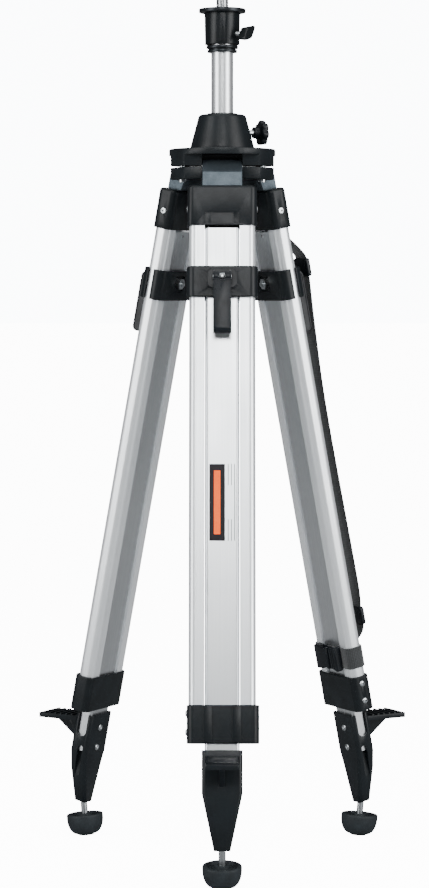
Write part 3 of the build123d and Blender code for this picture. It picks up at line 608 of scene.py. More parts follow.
# ------------------------------------------------------------------------------------------
# Geometry node trees
# ------------------------------------------------------------------------------------------
class NodeTool:
    """A geometry node tree with named inputs, and how it makes a plain mesh."""

    def __init__(self, name: str, inputs: Sequence[tuple[str, str]]) -> None:
        """Start the tree.

        Args:
            name: Name of the tree.
            inputs: Name and socket type of each input.
        """
        self.tree = bpy.data.node_groups.new(name, "GeometryNodeTree")
        face = self.tree.interface
        face.new_socket("Geometry", in_out="INPUT", socket_type="NodeSocketGeometry")
        self.keys = {
            label: face.new_socket(label, in_out="INPUT", socket_type=kind).identifier
            for label, kind in inputs}
        face.new_socket("Geometry", in_out="OUTPUT", socket_type="NodeSocketGeometry")
        self.start = self.tree.nodes.new("NodeGroupInput")
        self.build()

    def build(self) -> None:
        """Fill the tree."""
        raise NotImplementedError

    def end(self, shape: bpy.types.NodeSocket) -> None:
        """Close the tree: real geometry, with its material."""
        real = add(self.tree, "GeometryNodeRealizeInstances", {"Geometry": shape})
        coloured = add(self.tree, "GeometryNodeSetMaterial", {
            "Geometry": real.outputs["Geometry"], "Material": self.start.outputs["Material"]})
        add(self.tree, "NodeGroupOutput", {"Geometry": coloured.outputs["Geometry"]})

    def make(self, name: str, mesh: bpy.types.Mesh, values: dict) -> bpy.types.Object:
        """Run the tree on a mesh.

        Args:
            name: Name of the piece.
            mesh: What the tree starts from.
            values: Input name to its value.

        Returns:
            The piece, as a plain mesh.
        """
        piece = bpy.data.objects.new(name, mesh)
        bpy.context.scene.collection.objects.link(piece)
        modifier = piece.modifiers.new("make", "NODES")
        modifier.node_group = self.tree
        for label, value in values.items():
            modifier[self.keys[label]] = value
        return settle(piece)


class Scatter(NodeTool):
    """Sets one shape at many places, each with its own turn."""

    def __init__(self) -> None:
        """Name the inputs."""
        super().__init__("scatter", [
            ("Shape", "NodeSocketObject"), ("Size", "NodeSocketFloat"), ("Material", "NodeSocketMaterial")])

    def build(self) -> None:
        """Instances of the shape on the points, turned by their own attribute."""
        shape = add(self.tree, "GeometryNodeObjectInfo", {"Object": self.start.outputs["Shape"]})
        turn = add(self.tree, "GeometryNodeInputNamedAttribute", {"Name": "turn"}, data_type="FLOAT_VECTOR")
        turned = add(self.tree, "FunctionNodeEulerToRotation", {"Euler": turn.outputs["Attribute"]})
        placed = add(self.tree, "GeometryNodeInstanceOnPoints", {
            "Points": self.start.outputs["Geometry"],
            "Instance": shape.outputs["Geometry"],
            "Rotation": turned.outputs["Rotation"],
            "Scale": self.start.outputs["Size"]})
        self.end(placed.outputs["Instances"])

    def set_out(
        self, name: str, shape: bpy.types.Object, places: Iterable[Matrix], finish: Finish, size: float = 1.0,
    ) -> bpy.types.Object:
        """Copy a shape to its places.

        Args:
            name: Name of the piece.
            shape: The shape, in metres, standing on its origin with its face to +Z. It is used up.
            places: Where each copy stands, in metres.
            finish: Finish of the copies.
            size: Scale of the copies.

        Returns:
            All the copies as one piece.
        """
        spots = list(places)
        mesh = bpy.data.meshes.new(name)
        mesh.from_pydata([spot.translation for spot in spots], [], [])
        turns = mesh.attributes.new("turn", "FLOAT_VECTOR", "POINT")
        for entry, spot in zip(turns.data, spots):
            entry.vector = spot.to_euler()
        piece = self.make(name, mesh, {"Shape": shape, "Size": size, "Material": finish.material()})
        bpy.data.objects.remove(shape)
        return piece


class Thread(NodeTool):
    """A rolled thread: a round ridge wound along Z."""

    def __init__(self) -> None:
        """Name the inputs."""
        super().__init__("thread", [
            ("Radius", "NodeSocketFloat"), ("Length", "NodeSocketFloat"), ("Pitch", "NodeSocketFloat"),
            ("Material", "NodeSocketMaterial")])

    def build(self) -> None:
        """A spiral with a small round section, joined with the given core."""
        turns = add(self.tree, "ShaderNodeMath", {
            0: self.start.outputs["Length"], 1: self.start.outputs["Pitch"]}, operation="DIVIDE")
        ridge = add(self.tree, "ShaderNodeMath", {
            0: self.start.outputs["Pitch"], 1: 0.36}, operation="MULTIPLY")
        middle = add(self.tree, "ShaderNodeMath", {
            0: self.start.outputs["Radius"], 1: ridge.outputs[0]}, operation="SUBTRACT")
        spiral = add(self.tree, "GeometryNodeCurveSpiral", {
            "Resolution": 40, "Rotations": turns.outputs[0], "Start Radius": middle.outputs[0],
            "End Radius": middle.outputs[0], "Height": self.start.outputs["Length"]})
        section = add(self.tree, "GeometryNodeCurvePrimitiveCircle", {
            "Resolution": 8, "Radius": ridge.outputs[0]}, mode="RADIUS")
        wound = add(self.tree, "GeometryNodeCurveToMesh", {
            "Curve": spiral.outputs["Curve"], "Profile Curve": section.outputs["Curve"], "Fill Caps": True})
        smooth = add(self.tree, "GeometryNodeSetShadeSmooth", {"Geometry": wound.outputs["Mesh"]})
        both = self.tree.nodes.new("GeometryNodeJoinGeometry")
        self.tree.links.new(smooth.outputs["Geometry"], both.inputs[0])
        self.tree.links.new(self.start.outputs["Geometry"], both.inputs[0])
        self.end(both.outputs["Geometry"])

    def wind(
        self, name: str, radius: float, length: float, pitch: float, place: Matrix, finish: Finish,
    ) -> bpy.types.Object:
        """Make a threaded rod that stands on its own frame.

        Args:
            name: Name of the piece.
            radius: Outer radius of the thread, mm.
            length: Length of the rod, mm.
            pitch: Pitch of the thread, mm.
            place: Where the rod's frame stands, in metres.
            finish: Its finish.

        Returns:
            The rod.
        """
        maker = bmesh.new()
        core = radius - pitch * 0.42
        lead = min(pitch * 0.6, radius * 0.3)
        lathe(maker, [(0, 0), (core, 0), (core, length - lead), (core - lead, length), (0, length)], 40)
        start = to_object(maker, f"{name}_core", Matrix.Identity(4))
        mesh = start.data
        bpy.data.objects.remove(start)
        piece = self.make(name, mesh, {
            "Radius": radius * MM, "Length": (length - lead - pitch * 0.4) * MM, "Pitch": pitch * MM,
            "Material": finish.material()})
        piece.data.transform(place)
        return piece


# ------------------------------------------------------------------------------------------
# Frames read from the joints
# ------------------------------------------------------------------------------------------
JOINTS = {joint["name"]: joint for joint in frame["joints"]}


def axes_frame(origin: Vector, x_axis: Vector, z_axis: Vector) -> Matrix:
    """A frame from its origin, its X and its Z, with X made square to Z.

    Args:
        origin: Where the frame stands.
        x_axis: Roughly where its X points.
        z_axis: Where its Z points.

    Returns:
        The frame.
    """
    z_unit = z_axis.normalized()
    y_unit = z_unit.cross(x_axis).normalized()
    x_unit = y_unit.cross(z_unit)
    turn = Matrix((x_unit, y_unit, z_unit)).transposed()
    return Matrix.Translation(origin) @ turn.to_4x4()


def local_box(node: str, place: Matrix) -> tuple[Vector, Vector]:
    """A node's corners in a frame, in millimetres.

    Args:
        node: Name of the node.
        place: Where the frame stands.

    Returns:
        The lowest and the highest corner.
    """
    back = place.inverted()
    spots = [back @ vertex.co for vertex in frame["nodes"][node].data.vertices]
    low = Vector([min(spot[i] for spot in spots) for i in range(3)])
    high = Vector([max(spot[i] for spot in spots) for i in range(3)])
    return low / MM, high / MM


def islands(node: str, place: Matrix) -> list[tuple[Vector, Vector]]:
    """Boxes of the separate solids in a node, in a frame and in millimetres.

    Args:
        node: Name of the node.
        place: Where the frame stands.

    Returns:
        The lowest and the highest corner of each solid.
    """
    maker = bmesh.new()
    maker.from_mesh(frame["nodes"][node].data)
    bmesh.ops.remove_doubles(maker, verts=maker.verts, dist=1e-6)
    back = place.inverted()
    seen: set[int] = set()
    found = []
    for seed in maker.verts:
        if seed.index in seen:
            continue
        stack, spots = [seed], []
        seen.add(seed.index)
        while stack:
            vertex = stack.pop()
            spots.append(back @ vertex.co)
            for edge in vertex.link_edges:
                other = edge.other_vert(vertex)
                if other.index not in seen:
                    seen.add(other.index)
                    stack.append(other)
        low = Vector([min(spot[i] for spot in spots) for i in range(3)])
        high = Vector([max(spot[i] for spot in spots) for i in range(3)])
        found.append((low / MM, high / MM))
    maker.free()
    return found


@dataclass(frozen=True)
class LegFrame:
    """One leg's frame and names.

    Attributes:
        side: Which leg.
        place: Where its frame stands: origin on the hinge, -Y outwards, Z up the leg.
    """

    side: Side
    place: Matrix

    @classmethod
    def of(cls, side: Side) -> "LegFrame":
        """Read the frame from the leg's fold and slide."""
        fold = JOINTS[f"{side.value}_leg_fold"]
        slide = JOINTS[f"{side.value}_leg_extend"]
        return cls(side, axes_frame(Vector(fold["pos_m"]), -Vector(fold["axis"]), -Vector(slide["axis"])))

    def name(self, piece: str) -> str:
        """A name with the leg's side in front."""
        return f"{self.side.value}_{piece}"

    def span(self, node: str) -> tuple[Vector, Vector]:
        """Corners of one of the leg's nodes in its frame, in millimetres."""
        return local_box(self.name(node), self.place)

    def at(self, spot: Point, turn: Sequence[float] = (0.0, 0.0, 0.0)) -> Matrix:
        """Where a frame in the leg's frame stands.

        Args:
            spot: Its origin, mm.
            turn: Its turn, degrees.

        Returns:
            The frame in the row's frame, in metres.
        """
        angles = Euler([math.radians(angle) for angle in turn])
        return self.place @ Matrix.Translation(Vector(spot) * MM) @ angles.to_matrix().to_4x4()


# ------------------------------------------------------------------------------------------
# Small shapes that are set out many times
# ------------------------------------------------------------------------------------------
@dataclass(frozen=True)
class PanHead:
    """Pan head with a cross recess.

    Attributes:
        radius: Radius of the head, mm.
        height: Height of the dome, mm.
        slot: Width of the cross, mm.
        recess: Depth of the cutter for the cross, half of which is over the dome, mm.
        neck_depth: How far the shank goes under the head, mm.
    """

    radius: float = 4.0
    height: float = 1.9
    slot: float = 1.5
    recess: float = 4.4
    neck_depth: float = 3.4

    def shape(self) -> bpy.types.Object:
        """The head on its origin, facing +Z."""
        maker = bmesh.new()
        steps = 7
        dome = [
            (self.radius * math.cos(math.pi / 2 * i / steps),
             0.35 + (self.height - 0.35) * math.sin(math.pi / 2 * i / steps))
            for i in range(steps)]
        neck = 0.62 * self.radius
        foot = -self.neck_depth
        outline = [(0, foot), (neck, foot), (neck, -0.4), (self.radius, -0.4)] + dome + [(0, self.height)]
        lathe(maker, outline, 28)
        head = to_object(maker, "pan_head", Matrix.Identity(4))
        cross = bmesh.new()
        reach = self.radius * 1.05
        box_solid(cross, (0, 0, self.height - 0.4), (reach, self.slot, self.recess))
        cut(head, cross, Matrix.Identity(4))
        cross = bmesh.new()
        box_solid(cross, (0, 0, self.height - 0.4), (self.slot, reach, self.recess))
        cut(head, cross, Matrix.Identity(4))
        return head


@dataclass(frozen=True)
class Rivet:
    """Set rivet: a low dome with a dimple.

    Attributes:
        radius: Radius of the head, mm.
        height: Height of the dome, mm.
    """

    radius: float = 4.4
    height: float = 1.6

    def shape(self) -> bpy.types.Object:
        """The rivet head on its origin, facing +Z."""
        maker = bmesh.new()
        r, h = self.radius, self.height
        profile = [
            (0, -0.4), (r, -0.4), (r, 0.2), (r * 0.96, h * 0.45), (r * 0.84, h * 0.75), (r * 0.62, h * 0.95),
            (r * 0.42, h), (r * 0.34, h * 0.92), (r * 0.28, h * 0.45), (0, h * 0.4),
        ]
        lathe(maker, profile, 28)
        return to_object(maker, "rivet_head", Matrix.Identity(4))


@dataclass(frozen=True)
class Stitch:
    """One lockstitch: a short thread that dives in at both ends.

    Attributes:
        length: Visible length, mm.
        radius: Radius of the thread, mm.
    """

    length: float = 2.6
    radius: float = 0.35

    def shape(self) -> bpy.types.Object:
        """The stitch on its origin, along Y, facing +Z."""
        maker = bmesh.new()
        rings = []
        for i in range(7):
            along = (i / 6 - 0.5) * self.length
            lift = self.radius * (math.cos(math.pi * (i / 6 - 0.5)) * 1.3 - 0.4)
            rings.append([
                (self.radius * math.cos(a), along, lift + self.radius * math.sin(a))
                for a in [2 * math.pi * k / 6 for k in range(6)]])
        rings_to_solid(maker, rings)
        return to_object(maker, "stitch", Matrix.Identity(4))


# ------------------------------------------------------------------------------------------
# Head, column, cup
# ------------------------------------------------------------------------------------------
@dataclass
class Head:
    """The casting with its lugs, the guide and the star knob.

    Attributes:
        scatter: Tool that sets out repeated shapes. It is not used.
        lobes: Lobes of the star knob.
        knob_hollow: How deep the knob is between its lobes, as a share of its radius.
        knob_hub: Length of the knob's hub, mm.
        casting_edge: Broken edges of the castings, mm.
    """

    scatter: Scatter
    lobes: int = 7
    knob_hollow: float = 0.17
    knob_hub: float = 8.0
    casting_edge: float = 0.7

    def build(self) -> None:
        """Dress the castings and build the knob."""
        refined("head_plate", self.casting_edge, POWDER_COAT, "head")
        refined("lug_caps", self.casting_edge, POWDER_COAT, "head")
        refined("column_guide", 0.5, POWDER_COAT, "head")
        refined("column_bush", 0.4, NYLON, "head")
        dress_node("hinge_pins", ZINC)
        dress_node("lug_bolts", ZINC)
        dress_node("knob_screw", ZINC)
        self.knob()
        log.info("head: castings, guide, pins, bolts and knob")

    def knob(self) -> bpy.types.Object:
        """Star knob with round lobes, a hub and a sunk face."""
        turn = JOINTS["knob_turn"]
        axis = Vector(turn["axis"])
        place = axes_frame(Vector(turn["pos_m"]), Vector((0, 0, 1)), axis)
        low, high = local_box("knob_grip", place)
        middle = Vector(((low.x + high.x) / 2, (low.y + high.y) / 2, low.z))
        own = place @ Matrix.Translation(middle * MM)
        radius = (high.x - low.x) / 2
        length = high.z - low.z
        hub = self.knob_hub
        outline = []
        for i in range(20 * self.lobes):
            angle = 2 * math.pi * i / (20 * self.lobes)
            wave = 0.5 + 0.5 * math.cos(self.lobes * angle)
            outline.append((1 - self.knob_hollow * (1 - wave ** 0.7)) * radius)
        def ring(share: float, height: float) -> list[Point]:
            """The star's outline at a share of its size; small shares are rounder."""
            points = []
            for i, reach in enumerate(outline):
                angle = 2 * math.pi * i / len(outline)
                mean = radius * (1 - self.knob_hollow * 0.5)
                size = (mean + (reach - mean) * min(1.0, max(0.0, (share - 0.45) / 0.4))) * share
                points.append((size * math.cos(angle), size * math.sin(angle), height))
            return points
        neck = ((0.4, 0.0), (0.47, 0.25), (0.5, 0.8), (0.5, hub - 0.6), (0.56, hub - 0.1))
        rings = [ring(share, height) for share, height in neck]
        for share, height in ((0.86, 0.1), (0.94, 0.5), (0.985, 1.3), (1.0, 2.4)):
            rings.append(ring(share, hub + height))
        face = ((1.0, 3.2), (0.985, 1.9), (0.945, 0.9), (0.88, 0.3), (0.8, 0.0), (0.6, 0.0), (0.56, 0.15))
        for share, height in face:
            rings.append(ring(share, length - height))
        rings += [ring(0.54, length - 0.9), ring(0.3, length - 1.1)]
        maker = bmesh.new()
        rings_to_solid(maker, rings)
        piece = dress(to_object(maker, "star_knob", own, 42), HANDLED_NYLON)
        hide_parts("knob_grip")
        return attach(piece, "knob")


@dataclass
class Column:
    """The lifting column with its cup, instrument stud and wing screw.

    Attributes:
        thread: Tool that winds threads.
        stud_pitch: Pitch of the instrument thread, eleven turns to the inch.
        seat_groove: Width of the groove in the seat, mm.
    """

    thread: Thread
    stud_pitch: float = 25.4 / 11
    seat_groove: float = 1.2

    def build(self) -> None:
        """Dress the column and build what is on top of it."""
        dress_node("column_tube", extrusion_finish("column", Euler((0, 0, 0))))
        dress_node("column_plug", NYLON)
        refined("column_collar", 0.5, BLACK_ANODISED, "column", 3)
        refined("cup", 0.9, CUP_COAT, "cup", 3)
        self.stud()
        self.wing_screw()
        log.info("column: tube, collar, cup, stud and wing screw")

    def stud(self) -> None:
        """Seat disc with a groove, and the threaded stud on it."""
        low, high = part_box("instrument_stud")
        middle = (low + high) / 2
        place = Matrix.Translation((middle.x, middle.y, 0.0))
        cup_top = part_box("cup")[1].z / MM
        top = high.z / MM
        radius = (high.x - low.x) / 2 / MM
        seat_top = top - 22.0
        maker = bmesh.new()
        lathe(maker, [
            (0, low.z / MM), (9.8, low.z / MM), (9.8, cup_top), (radius - 0.8, cup_top),
            (radius - 0.2, cup_top + 0.25), (radius, cup_top + 0.8), (radius, seat_top - 0.9),
            (radius - 0.25, seat_top - 0.25), (radius - 0.9, seat_top), (13.0 + self.seat_groove, seat_top),
            (13.0 + self.seat_groove, seat_top - 0.5), (13.0, seat_top - 0.5),
            (13.0, seat_top), (9.6, seat_top), (9.2, seat_top - 0.4), (0, seat_top - 0.4)], 96)
        seat_piece = dress(to_object(maker, "stud_seat", place, 30), BLACK_ANODISED)
        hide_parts("instrument_stud")
        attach(seat_piece, "cup")
        stud = self.thread.wind(
            "stud_thread", 7.94, top - seat_top + 0.4, self.stud_pitch,
            place @ Matrix.Translation((0, 0, (seat_top - 0.4) * MM)), ZINC)
        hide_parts("instrument_stud")
        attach(stud, "cup")

    def wing_screw(self) -> None:
        """Wing screw: a steel screw in a moulded wing with a thick root."""
        turn = JOINTS["wing_screw_turn"]
        place = axes_frame(Vector(turn["pos_m"]), Vector((0, 0, 1)), Vector(turn["axis"]))
        low, high = local_box("wing_screw", place)
        middle = Vector(((low.x + high.x) / 2, (low.y + high.y) / 2, 0.0))
        own = place @ Matrix.Translation(middle * MM)
        tilt = math.radians(-52)
        depth = 11.0
        start = high.z - depth
        maker = bmesh.new()
        outline = []
        half, root, tip = 14.5, 7.6, 4.2
        for i in range(72):
            angle = 2 * math.pi * i / 72
            x = half * math.copysign(abs(math.cos(angle)) ** 0.8, math.cos(angle))
            thick = root + (tip - root) * min(1.0, abs(x) / half * 1.2)
            y = thick * math.copysign(abs(math.sin(angle)) ** 0.75, math.sin(angle))
            outline.append((x, y))
        soft_prism(maker, outline, start, high.z, 1.2, 1.2)
        for vertex in maker.verts:
            share = (vertex.co.z - start) / depth
            vertex.co.x *= 0.78 + 0.22 * math.sin(min(1.0, share * 1.6) * math.pi / 2)
        lathe(maker, [(0, start - 1.8), (4.2, start - 1.8), (5.2, start - 1.0), (5.4, start + 1.0),
                      (4.6, start + 6.0),
                      (0, start + 6.5)], 36)
        wing = dress(to_object(maker, "wing_grip", own @ Matrix.Rotation(tilt, 4, "Z"), 50), LACQUER)
        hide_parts("wing_screw")
        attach(wing, "wing_screw")
        screw = self.thread.wind(
            "wing_thread", 3.0, start - 1.0 - low.z, 1.0, own @ Matrix.Translation((0, 0, low.z * MM)), ZINC)
        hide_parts("wing_screw")
        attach(screw, "wing_screw")


# ------------------------------------------------------------------------------------------
# One leg
# ------------------------------------------------------------------------------------------
@dataclass
class Leg:
    """One leg: rails, cap, collar, blade, clamp, lever, foot and pad.

    Attributes:
        leg: The leg's frame.
        scatter: Tool that sets out repeated shapes.
        thread: Tool that winds threads. It is not used.
        moulding_edge: Broken edges of the mouldings, mm.
        cap_rise: Rise of the screw heads over the cap, mm.
        collar_rise: Rise of the screw heads over the lower collar, mm.
        pad_lines: Radii of the fine rings moulded into the pad's top, mm.
    """

    leg: LegFrame
    scatter: Scatter
    thread: Thread
    moulding_edge: float = 0.6
    cap_rise: float = 0.5
    collar_rise: float = 1.4
    pad_lines: tuple[float, ...] = (13.2, 16.4)

    def build(self) -> None:
        """Dress and build every piece of the leg."""
        name = self.leg.name
        leg_body, slide = name("leg"), name("slide")
        turn = self.leg.place.to_3x3().inverted().to_euler()
        side = self.leg.side.value
        dress_node(name("rails"), extrusion_finish(f"{side}_rails", turn, 0.72))
        dress_node(name("sliding_blade"), extrusion_finish(f"{side}_blade", turn, 1.0))
        refined(name("hinge_tongue"), 0.6, CASTING, leg_body)
        refined(name("top_cap"), self.moulding_edge, NYLON, leg_body)
        refined(name("lower_collar"), self.moulding_edge, NYLON, leg_body)
        refined(name("clamp_outer_shell"), 0.5, NYLON, slide)
        refined(name("clamp_inner_shell"), 0.5, NYLON, slide)
        refined(name("foot"), 0.5, POWDER_COAT, slide)
        refined(name("clamp_lever"), 0.4, HANDLED_NYLON, name("lever"), 3)
        dress_node(name("clamp_bolt"), ZINC)
        dress_node(name("foot_rod"), ZINC)
        self.screws()
        self.rivets()
        self.bolt_end()
        self.pad()
        log.info("%s leg: rails, blade, mouldings, screws, lever, foot and pad", self.leg.side.value)

    def screws(self) -> None:
        """Cross-recessed screws in the cap and on the lower collar's edge."""
        node = self.leg.name("leg_screws")
        rail_low, rail_high = self.leg.span("rails")
        middle = (rail_low.x + rail_high.x) / 2
        places: dict[str, list[Matrix]] = {"cap": [], "collar": []}
        for number, (low, high) in enumerate(islands(node, self.leg.place)):
            centre = (low + high) / 2
            side = 1 if centre.x > middle else -1
            face = high.x if side > 0 else low.x
            in_cap = centre.z > (rail_low.z + rail_high.z) / 2
            rise = self.cap_rise if in_cap else self.collar_rise
            spot = (face - side * rise, centre.y, centre.z)
            places["cap" if in_cap else "collar"].append(
                self.leg.at(spot) @ Matrix.Rotation(side * math.pi / 2, 4, "Y")
                @ Matrix.Rotation(0.35 + 0.5 * number, 4, "Z"))
        for group, head in (("cap", PanHead(height=0.9)), ("collar", PanHead())):
            piece = self.scatter.set_out(self.leg.name(f"{group}_screws"), head.shape(), places[group], ZINC)
            piece.data.set_sharp_from_angle(angle=math.radians(40))
            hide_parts(node)
            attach(piece, self.leg.name("leg"))

    def rivets(self) -> None:
        """Two rivets in the foot's inner face and one at the top of the blade."""
        node = self.leg.name("foot_rivets")
        places = [
            self.leg.at(((low.x + high.x) / 2, low.y, (low.z + high.z) / 2), (-90, 0, 0))
            for low, high in islands(node, self.leg.place)]
        blade_low, blade_high = self.leg.span("sliding_blade")
        places.append(self.leg.at((0, blade_high.y, blade_high.z - 6.0), (-90, 0, 0)) @ Matrix.Scale(0.5, 4))
        feet = self.scatter.set_out(self.leg.name("foot_rivet_heads"), Rivet().shape(), places[:2], ZINC)
        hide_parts(node)
        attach(feet, self.leg.name("slide"))
        shape = Rivet(2.0, 0.7).shape()
        small = self.scatter.set_out(self.leg.name("blade_rivet"), shape, places[2:], ZINC, 1.0)
        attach(small, self.leg.name("slide"))

    def bolt_end(self) -> None:
        """Round end of the clamp bolt, which shows in the lever's slot."""
        turn = JOINTS[self.leg.name("lever_turn")]
        pivot = self.leg.place.inverted() @ Vector(turn["pos_m"]) / MM
        maker = bmesh.new()
        lathe(maker, [(0, 0), (3.0, 0), (3.0, 5.1), (2.5, 5.7), (1.6, 6.0), (0, 6.1)], 32)
        place = self.leg.at(tuple(pivot), (90, 0, 0))
        piece = dress(to_object(maker, self.leg.name("bolt_end"), place, 30), ZINC)
        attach(piece, self.leg.name("slide"))

    def pad(self) -> None:
        """Rubber bowl with a stepped base, a rounded rim and rings moulded into its top."""
        node = self.leg.name("rubber_pad")
        axis = Vector(JOINTS[self.leg.name("pad_screw")]["axis"])
        upright = axes_frame(Vector((0, 0, 0)), self.leg.place.to_3x3() @ Vector((1, 0, 0)), axis)
        low, high = local_box(node, upright)
        place = upright @ Matrix.Translation(Vector(((low.x + high.x) / 2, (low.y + high.y) / 2, low.z)) * MM)
        radius = (high.x - low.x) / 2
        height = high.z - low.z
        rod_low, rod_high = local_box(self.leg.name("foot_rod"), upright)
        rod = (rod_high.x - rod_low.x) / 2
        step = 10.5
        profile: list[tuple[float, float]] = [
            (0, 0.35), (step * 0.55, 0.35), (step * 0.6, 0), (step - 0.4, 0), (step, 0.4), (step, 1.5)
        ]
        bowl = [(step + 0.4, 1.55)]
        for i in range(1, 15):
            angle = math.pi / 2 * i / 15
            bowl.append((step + (radius - step) * math.sin(angle) ** 0.85,
                         1.5 + (height - 7.0) * (1 - math.cos(angle))))
        profile += bowl
        profile += [(radius, height - 4.6), (radius, height - 2.0), (radius - 0.5, height - 0.8),
                    (radius - 1.6, height - 0.45)]
        profile += [(radius - 4.0, height - 0.5), (radius - 4.8, height - 0.9), (radius - 5.2, height - 2.2)]
        floor = height - 3.0
        for line in sorted(self.pad_lines, reverse=True):
            profile += [(line + 0.9, floor), (line + 0.5, floor - 0.9), (line - 0.5, floor - 0.9),
                        (line - 0.9, floor)]
        profile += [(rod + 5.4, floor), (rod + 4.9, height - 0.4), (rod + 4.0, height), (rod + 0.3, height),
                    (rod + 0.1, height - 0.6), (rod + 0.1, 6.0), (0, 6.0)]
        maker = bmesh.new()
        lathe(maker, profile, 80)
        piece = dress(to_object(maker, self.leg.name("bowl_pad"), place, 35), RUBBER)
        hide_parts(node)
        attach(piece, self.leg.name("pad"))


@dataclass
class FrontLabel:
    """Plain label on the front blade: a dark panel, an orange bar and fine rules, with no lettering.

    Attributes:
        leg: Frame of the leg.
        top: Top of the label below the hinge axis, mm.
        bottom: Its bottom, mm.
        panel: Left and right edges of the dark panel, mm.
        rules: Middles of the fine rules, mm.
        film: Thickness of the film, mm.
    """

    leg: LegFrame
    top: float = 380.1
    bottom: float = 474.9
    panel: tuple[float, float] = (-15.8, 3.4)
    rules: tuple[float, ...] = (7.4, 11.4, 15.2)
    film: float = 0.12

    def plate(
        self, name: str, x: tuple[float, float], z: tuple[float, float], lift: float, finish: Finish
    ) -> None:
        """One flat print with soft corners.

        Args:
            name: Name of the print.
            x: Its left and right edges, mm.
            z: Its top and bottom below the hinge, mm.
            lift: Its back's height over the blade, mm.
            finish: Its finish.
        """
        face = self.leg.span("sliding_blade")[0].y
        width, height = x[1] - x[0], z[1] - z[0]
        maker = bmesh.new()
        corner = min(0.6, width * 0.3)
        prism(maker, rounded_rectangle(width, height, corner, 4), lift, lift + self.film)
        place = self.leg.at(((x[0] + x[1]) / 2, face, -(z[0] + z[1]) / 2), (90, 0, 0))
        piece = dress(to_object(maker, name, place), finish)
        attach(piece, self.leg.name("slide"))

    def build(self) -> None:
        """Print the panel, the bar and the rules."""
        self.plate("label_panel", self.panel, (self.top, self.bottom), 0.0, LABEL_BLACK)
        inner = (self.panel[0] + 5.6, self.panel[1] - 5.6)
        self.plate("label_bar", inner, (self.top + 8, self.bottom - 8), self.film, LABEL_ORANGE)
        middle = (self.top + self.bottom) / 2
        for number, x in enumerate(self.rules):
            gap = 21.0 if number < 2 else 0.0
            for part, (start, end) in enumerate(((self.top, middle - gap), (middle + gap, self.bottom))):
                if gap or part == 0:
                    stop = end if gap else self.bottom
                    width = (x - 0.45, x + 0.45)
                    self.plate(f"label_rule_{number}_{part}", width, (start, stop), 0.0, LABEL_GREY)
        log.info("front label: panel, bar and rules")


# ------------------------------------------------------------------------------------------
# Straps on the right leg
# ------------------------------------------------------------------------------------------
def soft_curve(points: Sequence[tuple[float, float]], step: float = 3.0) -> list[Vector]:
    """A smooth line through points, evenly sampled.

    Args:
        points: Points of the line.
        step: Distance between samples, mm.

    Returns:
        The samples.
    """
    spots = [Vector(point) for point in points]
    ends = [2 * spots[0] - spots[1], *spots, 2 * spots[-1] - spots[-2]]
    dense = []
    for p0, p1, p2, p3 in zip(ends, ends[1:], ends[2:], ends[3:]):
        count = max(2, int((p2 - p1).length / step))
        reach = (p2 - p1).length
        before = reach / max((p1 - p0).length + reach, 1e-6)
        after = reach / max((p3 - p2).length + reach, 1e-6)
        start, end = (p2 - p0) * before, (p3 - p1) * after
        for i in range(count):
            t = i / count
            dense.append(
                (2 * t ** 3 - 3 * t ** 2 + 1) * p1 + (t ** 3 - 2 * t ** 2 + t) * start
                + (3 * t ** 2 - 2 * t ** 3) * p2 + (t ** 3 - t ** 2) * end)
    return [*dense, spots[-1]]


def ribbon(
    name: str, line: Sequence[Vector], width: float, thickness: float, place: Matrix, closed: bool = False,
) -> bpy.types.Object:
    """Flat webbing that follows a line, with its own map in metres.

    Args:
        name: Name of the piece.
        line: Middle of the webbing as two coordinates, mm.
        width: Width of the webbing, along X, mm.
        thickness: Its thickness, mm.
        place: Where the frame of the line stands: X across, line in Y and Z.
        closed: Whether the line comes back to its start.

    Returns:
        The webbing.
    """
    half, thin = width / 2, thickness / 2
    section = [
        (-half + 0.7, -thin), (half - 0.7, -thin), (half - 0.15, -thin * 0.6), (half, 0.0),
        (half - 0.15, thin * 0.6), (half - 0.7, thin), (-half + 0.7, thin), (-half + 0.15, thin * 0.6),
        (-half, 0.0), (-half + 0.15, -thin * 0.6),
    ]
    count = len(line)
    maker = bmesh.new()
    along_map = maker.loops.layers.uv.new("weave")
    rows, lengths, travelled = [], [], 0.0
    for i, spot in enumerate(line):
        before = line[i - 1] if i or closed else spot
        after = line[(i + 1) % count] if i < count - 1 or closed else spot
        tangent = (after - before).normalized()
        normal = Vector((-tangent.y, tangent.x))
        if i:
            travelled += (spot - line[i - 1]).length
        lengths.append(travelled)
        rows.append([
            maker.verts.new((x, spot.x + normal.x * t, spot.y + normal.y * t)) for x, t in section])
    pairs = list(zip(range(count - 1), range(1, count)))
    ends = lengths + []
    if closed:
        pairs.append((count - 1, 0))
    for i, j in pairs:
        far = ends[j] if j else travelled + (line[0] - line[-1]).length
        for k in range(len(section)):
            m = (k + 1) % len(section)
            face = maker.faces.new((rows[i][k], rows[i][m], rows[j][m], rows[j][k]))
            left, right = section[k][0], section[m][0]
            spots = ((left, ends[i]), (right, ends[i]), (right, far), (left, far))
            for loop, (u, v) in zip(face.loops, spots):
                loop[along_map].uv = (u * MM, v * MM)
    if not closed:
        maker.faces.new(list(reversed(rows[0])))
        maker.faces.new(rows[-1])
    return dress(to_object(maker, name, place, 60), WEBBING)


